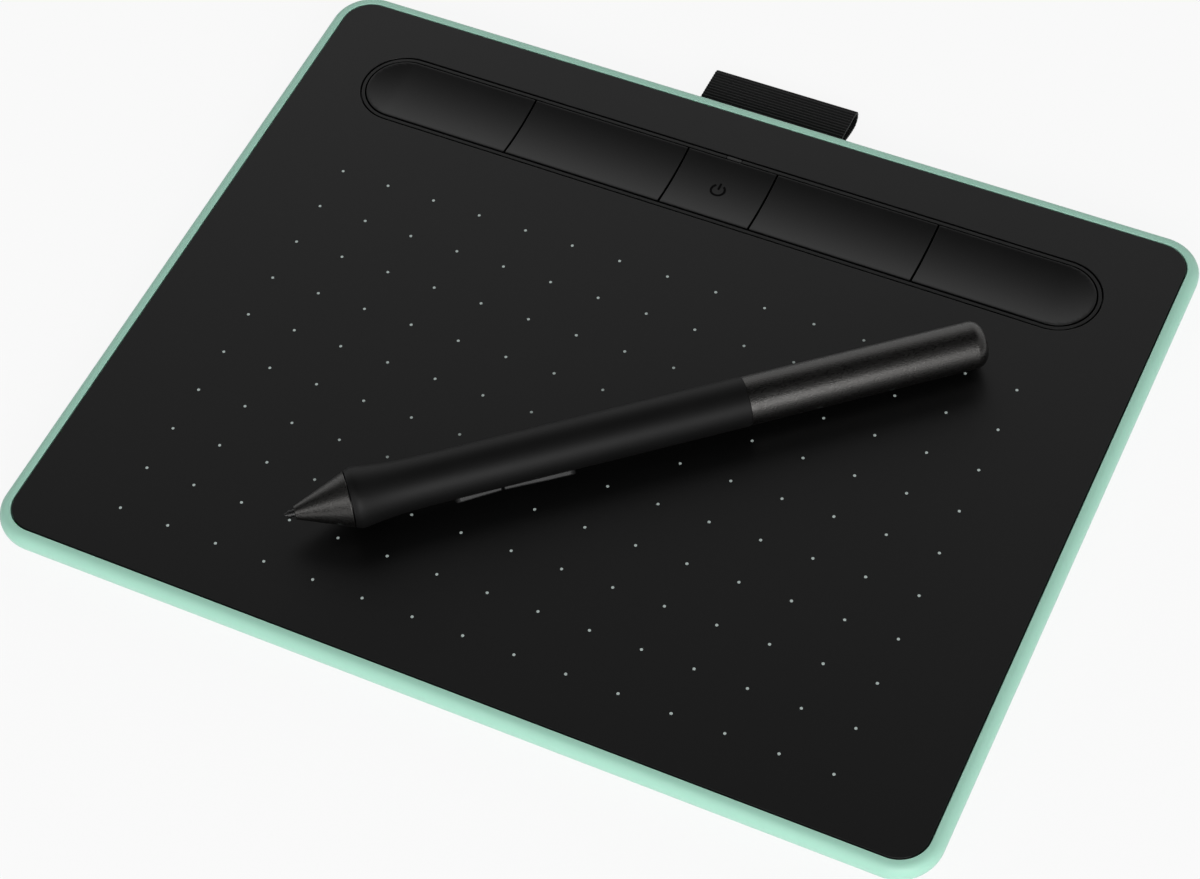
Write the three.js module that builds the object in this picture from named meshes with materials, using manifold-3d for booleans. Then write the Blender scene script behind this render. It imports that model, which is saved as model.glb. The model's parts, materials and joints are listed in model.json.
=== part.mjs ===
// A small pen drawing tablet with its pen lying on it.
//
// The case is a pastel green tray whose rounded rim frames a matt black cover. A bar of four shortcut
// keys and a power key is sunk in the rear of the cover, a ribbon loop for the pen leaves the rear wall,
// and a micro-USB socket opens in the left wall. Inside are the sensor board, its shield, the main board
// and a pouch battery. The pen holds a pressure sensor, a coil, a circuit board and spare nibs.
//
// Units are millimetres. +X is to the user's right, +Y to the rear, +Z up. The origin is the middle of
// the footprint, loop included, on the surface that the rubber feet stand on.

import * as THREE from "three";
import { mergeVertices } from "three/addons/utils/BufferGeometryUtils.js";
import Module from "manifold-3d";

const wasm = await Module();
wasm.setup();

// ---------------------------------------------------------------------------------------------------
// Driving dimensions
// ---------------------------------------------------------------------------------------------------

// Clearances shared by pieces that fit each other.
const SEAT_GAP = 0.1; // between flat faces that rest on or are glued to each other
const SLIP_GAP = 0.15; // round a piece that drops into a pocket
const KEY_GAP = 0.25; // round a key that travels
const LAY_GAP = 0.15; // between the pen's flare and the cover it lies on
const TAIL_GAP = 0.45; // between the pen's tail and the cover, so that the rear barrel draws off clear

// Case
const CASE_LENGTH = 200;
const CASE_WIDTH = 160;
const CASE_HEIGHT = 8.8; // from the feet's soles to the cover's top
const FOOT_STANDOFF = 0.8; // how far the feet stand out under the shell
const FLOOR_THICKNESS = 1.4;
const RIM_REACH = 2.8; // how far the shell bulges past the cover's edge
const RIM_LIP = 0.85; // flat top of the rim
const RIM_WAIST = 2.0; // depth of the rim's widest line under the cover's top
const HULL_SWEEP = 8.0; // how far the underside sweeps in from the widest line to the flat floor
const WALL_INSET = 0.8; // inner wall face, inwards of the cover's edge
const FLOOR_INSET = 4.2; // edge of the inner floor, inwards of the cover's edge
const CORNER_RADIUS = 6.2; // of the cover

// Cover
const COVER_THICKNESS = 1.6;
const COVER_CHAMFER = 0.15;
const LOCATING_RIB = { inset: 1.1, width: 0.9, depth: 1.5 };

// Key bar
const TRAY_END_MARGIN = 12.7; // cover's edge to the end of the key bar's hole
const TRAY_REAR_MARGIN = 11.3; // cover's rear edge to the hole
const TRAY_WIDTH = 18.8;
const BEZEL_RING = 0.8;
const BEZEL_RECESS = 0.1; // bezel's top under the cover's top
const BEZEL_FLANGE = { reach: 2.0, thickness: 0.8 };
const POWER_KEY_LENGTH = 20.5; // between the middles of the gaps beside it
const INNER_KEY_LENGTH = 36.25;
const KEY_SPLIT = 0.45; // gap between neighbouring keys
const KEY_DISH = 0.65;
const KEY_DEPTH = 2.4;
const KEY_TRAVEL = 0.5;
const KEY_TAB = { length: 4, thickness: 0.5, reach: 0.8, wall: 1.2, fromEnd: 4 };
const KEY_STEM_RADIUS = 1.3;
const LIGHT_PIPE_LENGTH = 3.6;

// Boards and battery
const MAIN_BOARD = { thickness: 0.8, rise: 1.2, frontReach: 5.8, rearReach: 5.9, endInset: 19.2 };
const BOARD_SCREW = { x: 62, inset: 1.9 };
const BOARD_TONGUE = { width: 11, endInset: 1.7 };
const SENSOR_BOARD = { thickness: 0.8, sideMargin: 13, frontMargin: 5.5, rearGap: 3.5 };
const SHIELD = { thickness: 0.25, inset: 2 };
const BATTERY = { length: 52, width: 34, centreX: -34 };
const BAY_WALL = { thickness: 1.0, height: 1.5 };
const RIB_THICKNESS = 1.2;
const DOME_SWITCH = { side: 4.6, body: 0.35, button: 0.2, buttonRadius: 1.3 };
const USB = { width: 7.5, height: 2.6, length: 5.5, setback: 0.7, wall: 0.3, tongue: 0.6 };
const RADIO = { length: 10, width: 11, height: 1.4, offsetX: 38.5 };
const CONTROLLER = { side: 7, height: 0.9, offsetX: -38 };
const STATUS_LED = { length: 1.6, width: 0.8, height: 0.6 };
const FLAT_CABLE = { width: 24, thickness: 0.2, centreX: 24, overlap: 2.5 };
const LEAD = { radius: 0.6, offsetX: -20 };
const LEAD_PLUG = { length: 5, width: 2.8, height: 1.7 };

// Case screws and feet
const CASE_SCREW = { edgeX: 11.2, edgeY: 10.2, shank: 1.0, head: 1.9, headHeight: 1.0, bite: 4.4 };
const CASE_BOSS_RADIUS = 2.6;
const SCREW_PAD = { radius: 3.2, height: 1.0 };
const SMALL_SCREW = { shank: 0.8, head: 1.5, headHeight: 0.8, bite: 2.2 };
const SMALL_BOSS_RADIUS = 1.9;
const SCREW_CROSS = { length: 0.62, width: 0.34, depth: 0.45 }; // length is a share of the head's radius
const FOOT = { length: 16, width: 7, recess: 0.5, shift: 3.5 };

// Pen loop
const LOOP = { width: 33, centreX: 1.0, thickness: 0.8, foldRadius: 2.15, reach: 12.4 };
const LOOP_TOP = 4.8; // upper face of the ribbon where it leaves the wall
const LOOP_FOLD_HEIGHT = 2.4; // middle of the fold
const LOOP_TAIL = 6.9; // ribbon inside the wall's widest line
const CLAMP = { width: 1.7, thickness: 0.9, side: 3.5 };

// Pen, measured from the nib's tip along its axis
const PEN_TIP = { x: -42.2, y: -57.8 }; // nib's tip from the middle of the case
const PEN_HEADING = 40.4; // degrees, from +X towards +Y, tip to tail
const SWITCH_DROP = 54; // degrees that the side switches face under the horizontal
const PEN_LENGTH = 143.9;
const NIB = { radius: 0.8, tipRadius: 0.5, length: 27, show: 2.15 };
const CONE = { mouth: 1.35, base: 5.62, end: 13.05, bore: 1.05, spigot: 3.6, wall: 0.65 };
const GRIP = { start: 13.2, lip: 5.72, flareAt: 14.9, flare: 6.13, waist: 5.04, end: 93.8, bore: 4.2 };
const GRIP_FADE = { length: 5.7, power: 1.3 }; // how the flare fades into the waist
const REAR = { stepIn: 0.09, taper: 0.11, wall: 0.69, endRound: 2.6, dome: 0.35, endWall: 5 };
const THREAD_RING = { length: 4.4, thickness: 0.5 };
const SPIGOT = { stepIn: 0.25, wall: 1.2, length: 6.2, inGrip: 7 }; // steps in from the core
const SWITCH = { start: 33.35, split: 42.95, end: 57.8, width: 3.8, crest: 5.9, slit: 0.4 };
const SWITCH_FLANGE = { width: 4.6, thickness: 0.55, inset: 0.26 }; // inset from the grip's bore
const SWITCH_TRAVEL = 0.35;
const CORE = { start: 17, wall: 0.75 };
const PEN_BOARD = { thickness: 0.8, inset: 0.5, start: 33.4, endGap: 0.8 };
const FERRITE = { start: 16.9, end: 23.4, radius: 2.0 };
const COIL = { start: 17.4, end: 22.9, clearance: 0.2 };
const NIB_SOCKET = { start: 23.9, end: 29.4, radius: 1.6, depth: 3.3 };
const PRESSURE_SENSOR = { start: 29.7, end: 33.1, clearance: 0.3 };
const NIB_HOLDER = { rearGap: 12.9, clearance: 0.65, depth: 21.6, pitchInset: 1.55 };
const SPARE_NIBS = 3;

// Facets
const CORNER_STEPS = 6; // per quarter turn of a corner
const PEN_SIDES = 32;
const SMALL_SIDES = 12;
const WELD = 1e-4; // vertices nearer than this are one

// ---------------------------------------------------------------------------------------------------
// Derived levels and edges
// ---------------------------------------------------------------------------------------------------

const coverHalfX = CASE_LENGTH / 2 - RIM_REACH;
const coverHalfY = CASE_WIDTH / 2 - RIM_REACH;
const coverTop = CASE_HEIGHT;
const coverUnder = coverTop - COVER_THICKNESS;
const shellUnder = FOOT_STANDOFF;
const floorTop = shellUnder + FLOOR_THICKNESS;
const rimWaistZ = coverTop - RIM_WAIST;

const trayHalfX = coverHalfX - TRAY_END_MARGIN;
const trayHalfY = TRAY_WIDTH / 2;
const trayY = coverHalfY - TRAY_REAR_MARGIN - trayHalfY;
const bezelOuterX = trayHalfX - SLIP_GAP;
const bezelOuterY = trayHalfY - SLIP_GAP;
const bezelInnerX = bezelOuterX - BEZEL_RING;
const bezelInnerY = bezelOuterY - BEZEL_RING;
const bezelTop = coverTop - BEZEL_RECESS;
const bezelUnder = coverUnder - SEAT_GAP - BEZEL_FLANGE.thickness;
const keyHalfX = bezelInnerX - KEY_GAP;
const keyHalfY = bezelInnerY - KEY_GAP;
const keyUnder = coverTop - KEY_DEPTH;
const splitInner = POWER_KEY_LENGTH / 2;
const splitOuter = splitInner + INNER_KEY_LENGTH;

const boardUnder = floorTop + MAIN_BOARD.rise;
const boardTop = boardUnder + MAIN_BOARD.thickness;
const boardFront = trayY - trayHalfY - MAIN_BOARD.frontReach;
const boardRear = trayY + trayHalfY + MAIN_BOARD.rearReach;
const boardHalfX = coverHalfX - MAIN_BOARD.endInset;
const switchTop = boardTop + SEAT_GAP + DOME_SWITCH.body + DOME_SWITCH.button;
const stemUnder = switchTop + SEAT_GAP + KEY_TRAVEL;

const usbZ = [boardTop + SEAT_GAP, boardTop + SEAT_GAP + USB.height];
const usbMouth = -CASE_LENGTH / 2 + USB.setback;

const sensorTop = coverUnder - SEAT_GAP;
const sensorUnder = sensorTop - SENSOR_BOARD.thickness;
const sensorHalfX = coverHalfX - SENSOR_BOARD.sideMargin;
const sensorFront = -coverHalfY + SENSOR_BOARD.frontMargin;
const sensorRear = boardFront - SENSOR_BOARD.rearGap;
const shieldTop = sensorUnder - SEAT_GAP;
const shieldUnder = shieldTop - SHIELD.thickness;
const batteryRear = sensorRear - SHIELD.inset - BAY_WALL.thickness;
const batteryZ = [floorTop + SEAT_GAP, shieldUnder - 4 * SEAT_GAP];
const batteryMiddleZ = (batteryZ[0] + batteryZ[1]) / 2;

const screwX = coverHalfX - CASE_SCREW.edgeX;
const screwY = coverHalfY - CASE_SCREW.edgeY;
const screwSpots = [-1, 1].flatMap((sx) => [-1, 1].map((sy) => [sx * screwX, sy * screwY]));
const sideName = (sx, sy) => (sy < 0 ? "front" : "rear") + (sx < 0 ? "_left" : "_right");
const boardScrewSpots = [-1, 1].flatMap((sx) => [
  [sx * BOARD_SCREW.x, boardFront + BOARD_SCREW.inset],
  [sx * BOARD_SCREW.x, boardRear - BOARD_SCREW.inset],
]);

const caseHalfY = CASE_WIDTH / 2;
const loopUnder = LOOP_TOP - 2 * LOOP.thickness;
const loopTailY = caseHalfY - LOOP_TAIL;

const coreOuter = GRIP.bore - SLIP_GAP;
const coreInner = coreOuter - CORE.wall;
const spigotRadius = coreOuter - SPIGOT.stepIn;
const spigotBore = spigotRadius - SPIGOT.wall;
const spigotStart = GRIP.end - SPIGOT.inGrip;
const spigotEnd = GRIP.end + SPIGOT.length;
const flangeTop = Math.sqrt(GRIP.bore ** 2 - (SWITCH_FLANGE.width / 2) ** 2) - SWITCH_FLANGE.inset;
const barrelRadius = GRIP.waist - REAR.stepIn;
const barrelEndRadius = barrelRadius - REAR.taper;
const barrelBore = barrelEndRadius - REAR.wall;
const holderRadius = barrelBore - NIB_HOLDER.clearance;
const holderEnd = PEN_LENGTH - REAR.endWall - NIB_HOLDER.rearGap;

// ---------------------------------------------------------------------------------------------------
// Materials
// ---------------------------------------------------------------------------------------------------

const finish = (color, roughness, metalness = 0) =>
  new THREE.MeshStandardMaterial({ color, roughness, metalness });
const GREEN_PLASTIC = finish(0x9fd3bd, 0.45);
const BLACK_TEXTURED = finish(0x1d1d1f, 0.7);
const BLACK_SATIN = finish(0x161616, 0.4);
const BLACK_KEY = finish(0x18181a, 0.55);
const SOFT_TOUCH = finish(0x191919, 0.8);
const RIBBON = finish(0x141414, 0.95);
const RUBBER = finish(0x2a2c2b, 0.9);
const BOARD = finish(0x1f5a3a, 0.5);
const STEEL = finish(0x9a9c9e, 0.35, 0.9);
const COPPER = finish(0xb8733a, 0.35, 0.9);
const FERRITE_GREY = finish(0x3c3b3d, 0.7);
const POUCH = finish(0xb9bcc0, 0.4, 0.6);
const CLEAR = finish(0xc9cdcf, 0.2);
const CABLE_WHITE = finish(0xd9d6cc, 0.6);
const NIB_PLASTIC = finish(0x232323, 0.6);

// ---------------------------------------------------------------------------------------------------
// Solid helpers
// ---------------------------------------------------------------------------------------------------

// A closed three.js geometry as a manifold-3d solid.
function solidOf(geometry) {
  const bare = geometry.clone();
  bare.deleteAttribute("normal");
  bare.deleteAttribute("uv");
  const merged = mergeVertices(bare, WELD);
  const corners = merged.index.array;
  const triVerts = [];
  for (let i = 0; i < corners.length; i += 3) {
    const [a, b, c] = corners.slice(i, i + 3);
    if (a !== b && b !== c && c !== a) triVerts.push(a, b, c);
  }
  return new wasm.Manifold(
    new wasm.Mesh({
      numProp: 3,
      vertProperties: merged.attributes.position.array,
      triVerts: new Uint32Array(triVerts),
    }),
  );
}

// A manifold-3d solid as a named three.js mesh.
function meshOf(name, solid, material) {
  const made = solid.getMesh();
  const geometry = new THREE.BufferGeometry();
  geometry.setAttribute("position", new THREE.BufferAttribute(made.vertProperties, 3));
  geometry.setIndex(new THREE.BufferAttribute(made.triVerts, 1));
  geometry.computeVertexNormals();
  const mesh = new THREE.Mesh(geometry, material);
  mesh.name = name;
  return mesh;
}

const joined = (solids) => solids.reduce((sum, solid) => sum.add(solid));
const without = (solid, cuts) => cuts.reduce((left, cut) => left.subtract(cut), solid);

// A box between two corners.
function block([x0, x1], [y0, y1], [z0, z1]) {
  const box = new THREE.BoxGeometry(x1 - x0, y1 - y0, z1 - z0);
  return solidOf(box.translate((x0 + x1) / 2, (y0 + y1) / 2, (z0 + z1) / 2));
}

const around = (middle, length) => [middle - length / 2, middle + length / 2];

// An upright cylinder.
function post(radius, [x, y], [z0, z1], sides = SMALL_SIDES) {
  const cylinder = new THREE.CylinderGeometry(radius, radius, z1 - z0, sides).rotateX(Math.PI / 2);
  return solidOf(cylinder.translate(x, y, (z0 + z1) / 2));
}

// A cylinder along the pen's axis, with an optional bore.
function tube(outer, inner, [x0, x1], sides = PEN_SIDES) {
  const along = (radius, from, to) =>
    solidOf(
      new THREE.CylinderGeometry(radius, radius, to - from, sides)
        .rotateZ(-Math.PI / 2)
        .translate((from + to) / 2, 0, 0),
    );
  const body = along(outer, x0, x1);
  return inner > 0 ? body.subtract(along(inner, x0 - 1, x1 + 1)) : body;
}

// Points round a rectangle with rounded corners, anticlockwise.
function roundedOutline(halfX, halfY, radius, steps = CORNER_STEPS) {
  const points = [];
  const middles = [
    [halfX - radius, halfY - radius],
    [radius - halfX, halfY - radius],
    [radius - halfX, radius - halfY],
    [halfX - radius, radius - halfY],
  ];
  middles.forEach(([x, y], quarter) => {
    for (let i = 0; i <= steps; i++) {
      const angle = ((quarter + i / steps) * Math.PI) / 2;
      points.push(new THREE.Vector2(x + radius * Math.cos(angle), y + radius * Math.sin(angle)));
    }
  });
  return points;
}

// An outline raised from z0 to z1, with its middle at y.
function prism(outline, [z0, z1], y = 0, x = 0) {
  const raised = new THREE.ExtrudeGeometry(new THREE.Shape(outline), {
    depth: z1 - z0,
    bevelEnabled: false,
  });
  return solidOf(raised.translate(x, y, z0));
}

const stadium = (halfX, halfY, steps) => roundedOutline(halfX, halfY, halfY - 1e-3, steps);

// The cover's outline moved out by reach.
const caseOutline = (reach) =>
  roundedOutline(coverHalfX + reach, coverHalfY + reach, CORNER_RADIUS + reach);

// A solid skinned over convex rings of equal length, from the lowest to the highest.
function skinned(rings) {
  const count = rings[0].outline.length;
  const positions = rings.flatMap(({ outline, z }) => outline.flatMap((p) => [p.x, p.y, z]));
  const index = [];
  for (let level = 0; level + 1 < rings.length; level++) {
    for (let i = 0; i < count; i++) {
      const low = level * count + i;
      const lowNext = level * count + ((i + 1) % count);
      index.push(low, lowNext, lowNext + count, low, lowNext + count, low + count);
    }
  }
  const topStart = (rings.length - 1) * count;
  for (let i = 1; i + 1 < count; i++) {
    index.push(0, i + 1, i);
    index.push(topStart, topStart + i, topStart + i + 1);
  }
  const geometry = new THREE.BufferGeometry();
  geometry.setAttribute("position", new THREE.Float32BufferAttribute(positions, 3));
  geometry.setIndex(index);
  return solidOf(geometry);
}

// A solid turned about the pen's axis from [station, radius] pairs.
function turned(profile, sides = PEN_SIDES) {
  const points = profile.map(([station, radius]) => new THREE.Vector2(radius, station));
  if (THREE.ShapeUtils.area(points) < 0) points.reverse();
  return solidOf(new THREE.LatheGeometry(points, sides).rotateZ(-Math.PI / 2));
}

// A cross-section in the Y-Z plane, drawn out along X.
function drawnAlongX(shape, [x0, x1], curveSegments) {
  const drawn = new THREE.ExtrudeGeometry(shape, {
    depth: x1 - x0,
    bevelEnabled: false,
    curveSegments,
  });
  const turn = new THREE.Matrix4().makeBasis(
    new THREE.Vector3(0, 1, 0),
    new THREE.Vector3(0, 0, 1),
    new THREE.Vector3(1, 0, 0),
  );
  return solidOf(drawn.applyMatrix4(turn).translate(x0, 0, 0));
}

// A cross-head screw pointing up, with its head's upper face at z.
function screw({ shank, head, headHeight, bite }, [x, y], z) {
  const slot = head * SCREW_CROSS.length;
  const slotZ = [z - headHeight - 1, z - headHeight + SCREW_CROSS.depth];
  const half = SCREW_CROSS.width / 2;
  return without(
    joined([post(head, [x, y], [z - headHeight, z]), post(shank, [x, y], [z - 0.1, z + bite])]),
    [
      block([x - slot, x + slot], [y - half, y + half], slotZ),
      block([x - half, x + half], [y - slot, y + slot], slotZ),
    ],
  );
}

// ---------------------------------------------------------------------------------------------------
// Case
// ---------------------------------------------------------------------------------------------------

// The shell's outer face as rings, from the flat floor round the rim to its flat lip.
function shellRings() {
  const rings = [];
  const lowerSteps = 7;
  const upperSteps = 5;
  for (let i = 0; i <= lowerSteps; i++) {
    const angle = (i / lowerSteps) * (Math.PI / 2);
    rings.push({
      outline: caseOutline(RIM_REACH - HULL_SWEEP * (1 - Math.sin(angle))),
      z: rimWaistZ - (rimWaistZ - shellUnder) * Math.cos(angle),
    });
  }
  const lip = SLIP_GAP + RIM_LIP;
  for (let i = 1; i <= upperSteps; i++) {
    const angle = (i / upperSteps) * (Math.PI / 2);
    rings.push({
      outline: caseOutline(lip + (RIM_REACH - lip) * Math.cos(angle)),
      z: rimWaistZ + RIM_WAIST * Math.sin(angle),
    });
  }
  return rings;
}

// The hollow under the cover.
function shellCavity() {
  const ledge = coverUnder - SEAT_GAP;
  return skinned([
    { outline: caseOutline(-FLOOR_INSET), z: floorTop },
    { outline: caseOutline(-FLOOR_INSET / 2), z: floorTop + 1.1 },
    { outline: caseOutline(-WALL_INSET), z: floorTop + 2.6 },
    { outline: caseOutline(-WALL_INSET), z: ledge + 1 },
  ]);
}

// Ribs that hold up the shield from the floor, clear of the battery.
function shellRibs() {
  const zSpan = [floorTop - 0.2, shieldUnder - SEAT_GAP];
  const ribHalfX = sensorHalfX - SHIELD.inset - 4;
  const front = sensorFront + SHIELD.inset + 6;
  const bayFront = batteryRear - BATTERY.width - BAY_WALL.thickness;
  const rows = 3;
  const ribs = [];
  for (let i = 0; i < rows; i++) {
    const y = front + (i * (bayFront - 4 - front)) / (rows - 1);
    ribs.push(block([-ribHalfX, ribHalfX], around(y, RIB_THICKNESS), zSpan));
  }
  for (const x of [-ribHalfX + 12, 0, ribHalfX - 12]) {
    ribs.push(block(around(x, RIB_THICKNESS), [front, bayFront - 4], zSpan));
  }
  const rightRib = BATTERY.centreX + BATTERY.length / 2 + 10;
  ribs.push(block([rightRib, ribHalfX], around(batteryRear - 6, RIB_THICKNESS), zSpan));
  return ribs;
}

// Low walls round the battery, open at the rear where its lead leaves.
function batteryBay() {
  const halfLength = BATTERY.length / 2 + SLIP_GAP;
  const zSpan = [floorTop - 0.2, floorTop + BAY_WALL.height];
  const outer = halfLength + BAY_WALL.thickness;
  const frontFace = batteryRear - BATTERY.width - SLIP_GAP;
  const ySpan = [frontFace - BAY_WALL.thickness, batteryRear - 4];
  return [
    block([BATTERY.centreX - outer, BATTERY.centreX - halfLength], ySpan, zSpan),
    block([BATTERY.centreX + halfLength, BATTERY.centreX + outer], ySpan, zSpan),
    block(around(BATTERY.centreX, 2 * outer), [frontFace - BAY_WALL.thickness, frontFace], zSpan),
  ];
}

const footMiddle = ([x, y]) => [x - Math.sign(x) * FOOT.shift, y];
const footRoof = shellUnder + FOOT.recess; // roof of a foot's recess
const screwSeat = floorTop + 0.2; // face that a case screw's head pulls against

function baseShell() {
  const pocket = prism(caseOutline(SLIP_GAP), [coverUnder - SEAT_GAP, coverTop + 1]);
  const hollow = without(skinned(shellRings()), [pocket, shellCavity()]);
  const padTop = floorTop + SCREW_PAD.height;
  const pads = screwSpots.map((spot) => post(SCREW_PAD.radius, spot, [floorTop - 0.2, padTop]));
  const loopShelf = block(
    around(LOOP.centreX, LOOP.width + 2 * CLAMP.side),
    [loopTailY, coverHalfY - WALL_INSET + 1],
    [floorTop - 0.2, loopUnder - SEAT_GAP],
  );
  const footCuts = screwSpots.map((spot) => {
    const [x, y] = footMiddle(spot);
    const halfX = FOOT.length / 2 + SLIP_GAP;
    const halfY = FOOT.width / 2 + SLIP_GAP;
    return prism(stadium(halfX, halfY), [shellUnder - 1, footRoof], y, x);
  });
  const screwCuts = screwSpots.flatMap((spot) => [
    post(CASE_SCREW.head + SLIP_GAP, spot, [shellUnder - 1, screwSeat]),
    post(CASE_SCREW.shank + SLIP_GAP, spot, [shellUnder, padTop + 1]),
  ]);
  const loopSlot = block(
    around(LOOP.centreX, LOOP.width + 2 * SLIP_GAP),
    [loopTailY, caseHalfY + 1],
    [loopUnder - SEAT_GAP, LOOP_TOP + SLIP_GAP],
  );
  const usbSlot = block(
    [-CASE_LENGTH / 2 - 1, -coverHalfX + 3],
    around(trayY, USB.width + 4 * SLIP_GAP),
    [usbZ[0] - 2 * SLIP_GAP, usbZ[1] + 2 * SLIP_GAP],
  );
  const tongueRoom = block(
    [-coverHalfX - 1, -coverHalfX + 4],
    around(trayY, BOARD_TONGUE.width + 4 * SLIP_GAP),
    [boardUnder - SLIP_GAP, boardTop + 1],
  ).intersect(prism(caseOutline(-WALL_INSET + 1e-3), [0, coverTop]));
  return without(joined([hollow, ...pads, loopShelf, ...shellRibs(), ...batteryBay()]), [
    ...footCuts,
    ...screwCuts,
    loopSlot,
    usbSlot,
    tongueRoom,
  ]);
}

function topCover() {
  const plate = skinned([
    { outline: caseOutline(0), z: coverUnder },
    { outline: caseOutline(0), z: coverTop - COVER_CHAMFER },
    { outline: caseOutline(-COVER_CHAMFER), z: coverTop },
  ]);
  const { inset, width, depth } = LOCATING_RIB;
  const ribSpan = [coverUnder - depth, coverUnder + 0.2];
  const rib = prism(caseOutline(-inset), ribSpan).subtract(
    prism(caseOutline(-inset - width), [ribSpan[0] - 1, coverUnder]),
  );
  const usbNotch = block(
    [-coverHalfX, -coverHalfX + 6],
    around(trayY, USB.width + 8 * SLIP_GAP),
    [ribSpan[0] - 1, coverUnder],
  );
  const usbPocket = block(
    [-coverHalfX - 1, usbMouth + USB.length + 2 * SLIP_GAP],
    around(trayY, USB.width + 2 * SLIP_GAP),
    [boardTop, usbZ[1] + SLIP_GAP],
  );
  const caseBosses = screwSpots.map((spot) =>
    post(CASE_BOSS_RADIUS, spot, [floorTop + SCREW_PAD.height + SEAT_GAP, coverUnder + 0.2]),
  );
  const boardBosses = boardScrewSpots.map((spot) =>
    post(SMALL_BOSS_RADIUS, spot, [boardTop + SEAT_GAP, coverUnder + 0.2]),
  );
  const pilot = (size, spot, from) =>
    post(size.shank + SLIP_GAP / 2, spot, [from, from + size.bite + 3 * SEAT_GAP]);
  return without(joined([plate, rib.subtract(usbNotch), ...caseBosses, ...boardBosses]), [
    usbPocket,
    prism(stadium(trayHalfX, trayHalfY), [coverUnder - 1, coverTop + 1], trayY),
    ...screwSpots.map((spot) => pilot(CASE_SCREW, spot, screwSeat)),
    ...boardScrewSpots.map((spot) => pilot(SMALL_SCREW, spot, boardUnder - SEAT_GAP)),
  ]);
}

function rubberFoot(spot) {
  const [x, y] = footMiddle(spot);
  const sole = stadium(FOOT.length / 2 - 0.3, FOOT.width / 2 - 0.3);
  const flank = stadium(FOOT.length / 2, FOOT.width / 2);
  return skinned([
    { outline: sole, z: 0 },
    { outline: flank, z: 0.3 },
    { outline: flank, z: footRoof - SEAT_GAP },
  ]).translate([x, y, 0]);
}

// ---------------------------------------------------------------------------------------------------
// Key bar
// ---------------------------------------------------------------------------------------------------

function keyBezel() {
  const ring = prism(stadium(bezelOuterX, bezelOuterY), [bezelUnder, bezelTop], trayY);
  const { reach, thickness } = BEZEL_FLANGE;
  const flangeTop = coverUnder - SEAT_GAP;
  const flange = prism(
    stadium(bezelOuterX + reach, bezelOuterY + reach),
    [flangeTop - thickness, flangeTop],
    trayY,
  );
  const hole = prism(stadium(bezelInnerX, bezelInnerY), [bezelUnder - 2, coverTop + 1], trayY);
  const pipeNotch = block(
    around(0, LIGHT_PIPE_LENGTH),
    [trayY + bezelInnerY - 1, trayY + bezelOuterY],
    [bezelUnder - 2, coverTop + 1],
  );
  return without(joined([ring, flange]), [hole, pipeNotch]);
}

function lightPipe() {
  return block(
    around(0, LIGHT_PIPE_LENGTH - 2 * SEAT_GAP),
    [trayY + bezelInnerY, trayY + bezelOuterY - SEAT_GAP],
    [boardTop + STATUS_LED.height + 4 * SEAT_GAP, bezelTop],
  );
}

// The shallow trough in the keys' tops, as the capsule that hollows it.
function keyDish() {
  const radius = (keyHalfY ** 2 + KEY_DISH ** 2) / (2 * KEY_DISH);
  const capsule = new THREE.CapsuleGeometry(radius, 2 * (keyHalfX - keyHalfY), 24, 96);
  capsule.rotateZ(Math.PI / 2).translate(0, trayY, coverTop - KEY_DISH + radius);
  return solidOf(capsule);
}

// Stop tabs on the front and rear skirts of a key between x0 and x1, which catch under the bezel.
function keyTabs(x0, x1) {
  const { length, thickness, reach, wall, fromEnd } = KEY_TAB;
  const tabTop = bezelUnder - SEAT_GAP;
  return [x0 + fromEnd, x1 - fromEnd].flatMap((x) =>
    [-1, 1].flatMap((side) => {
      const from = trayY + side * (keyHalfY - wall);
      const ySpan = (to) => [Math.min(from, to), Math.max(from, to)];
      return [
        block(around(x, length), ySpan(trayY + side * keyHalfY), [tabTop - 0.1, keyUnder + 0.2]),
        block(
          around(x, length),
          ySpan(trayY + side * (keyHalfY + reach)),
          [tabTop - thickness, tabTop],
        ),
      ];
    }),
  );
}

// A key from x0 to x1. tabs gives the stretch that its stop tabs share, which is clear of a round end.
function keyCap([x0, x1], tabs) {
  const blank = prism(stadium(keyHalfX, keyHalfY, 12), [keyUnder, coverTop], trayY);
  const slab = block([x0, x1], around(trayY, TRAY_WIDTH), [keyUnder - 1, coverTop + 1]);
  const middle = (tabs[0] + tabs[1]) / 2;
  const stem = post(KEY_STEM_RADIUS, [middle, trayY], [stemUnder, keyUnder + 0.2]);
  return joined([
    blank.intersect(slab).subtract(keyDish()),
    ...keyTabs(tabs[0], tabs[1]),
    stem,
  ]);
}

const keyEdges = {
  key_left_outer: [-keyHalfX, -splitOuter - KEY_SPLIT / 2],
  key_left_inner: [-splitOuter + KEY_SPLIT / 2, -splitInner - KEY_SPLIT / 2],
  power_key: [-splitInner + KEY_SPLIT / 2, splitInner - KEY_SPLIT / 2],
  key_right_inner: [splitInner + KEY_SPLIT / 2, splitOuter - KEY_SPLIT / 2],
  key_right_outer: [splitOuter + KEY_SPLIT / 2, keyHalfX],
};
const straightEnd = keyHalfX - keyHalfY;
const keyTabEdges = ([x0, x1]) => [Math.max(x0, -straightEnd), Math.min(x1, straightEnd)];

// ---------------------------------------------------------------------------------------------------
// Boards, battery and what is on them
// ---------------------------------------------------------------------------------------------------

function mainBoard() {
  const zSpan = [boardUnder, boardTop];
  const strip = block([-boardHalfX, boardHalfX], [boardFront, boardRear], zSpan);
  const tongue = block(
    [-coverHalfX + BOARD_TONGUE.endInset, -boardHalfX + 1],
    around(trayY, BOARD_TONGUE.width),
    zSpan,
  );
  const holes = boardScrewSpots.map((spot) =>
    post(SMALL_SCREW.shank + SLIP_GAP, spot, [boardUnder - 1, boardTop + 1]),
  );
  return without(strip.add(tongue), holes);
}

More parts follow.
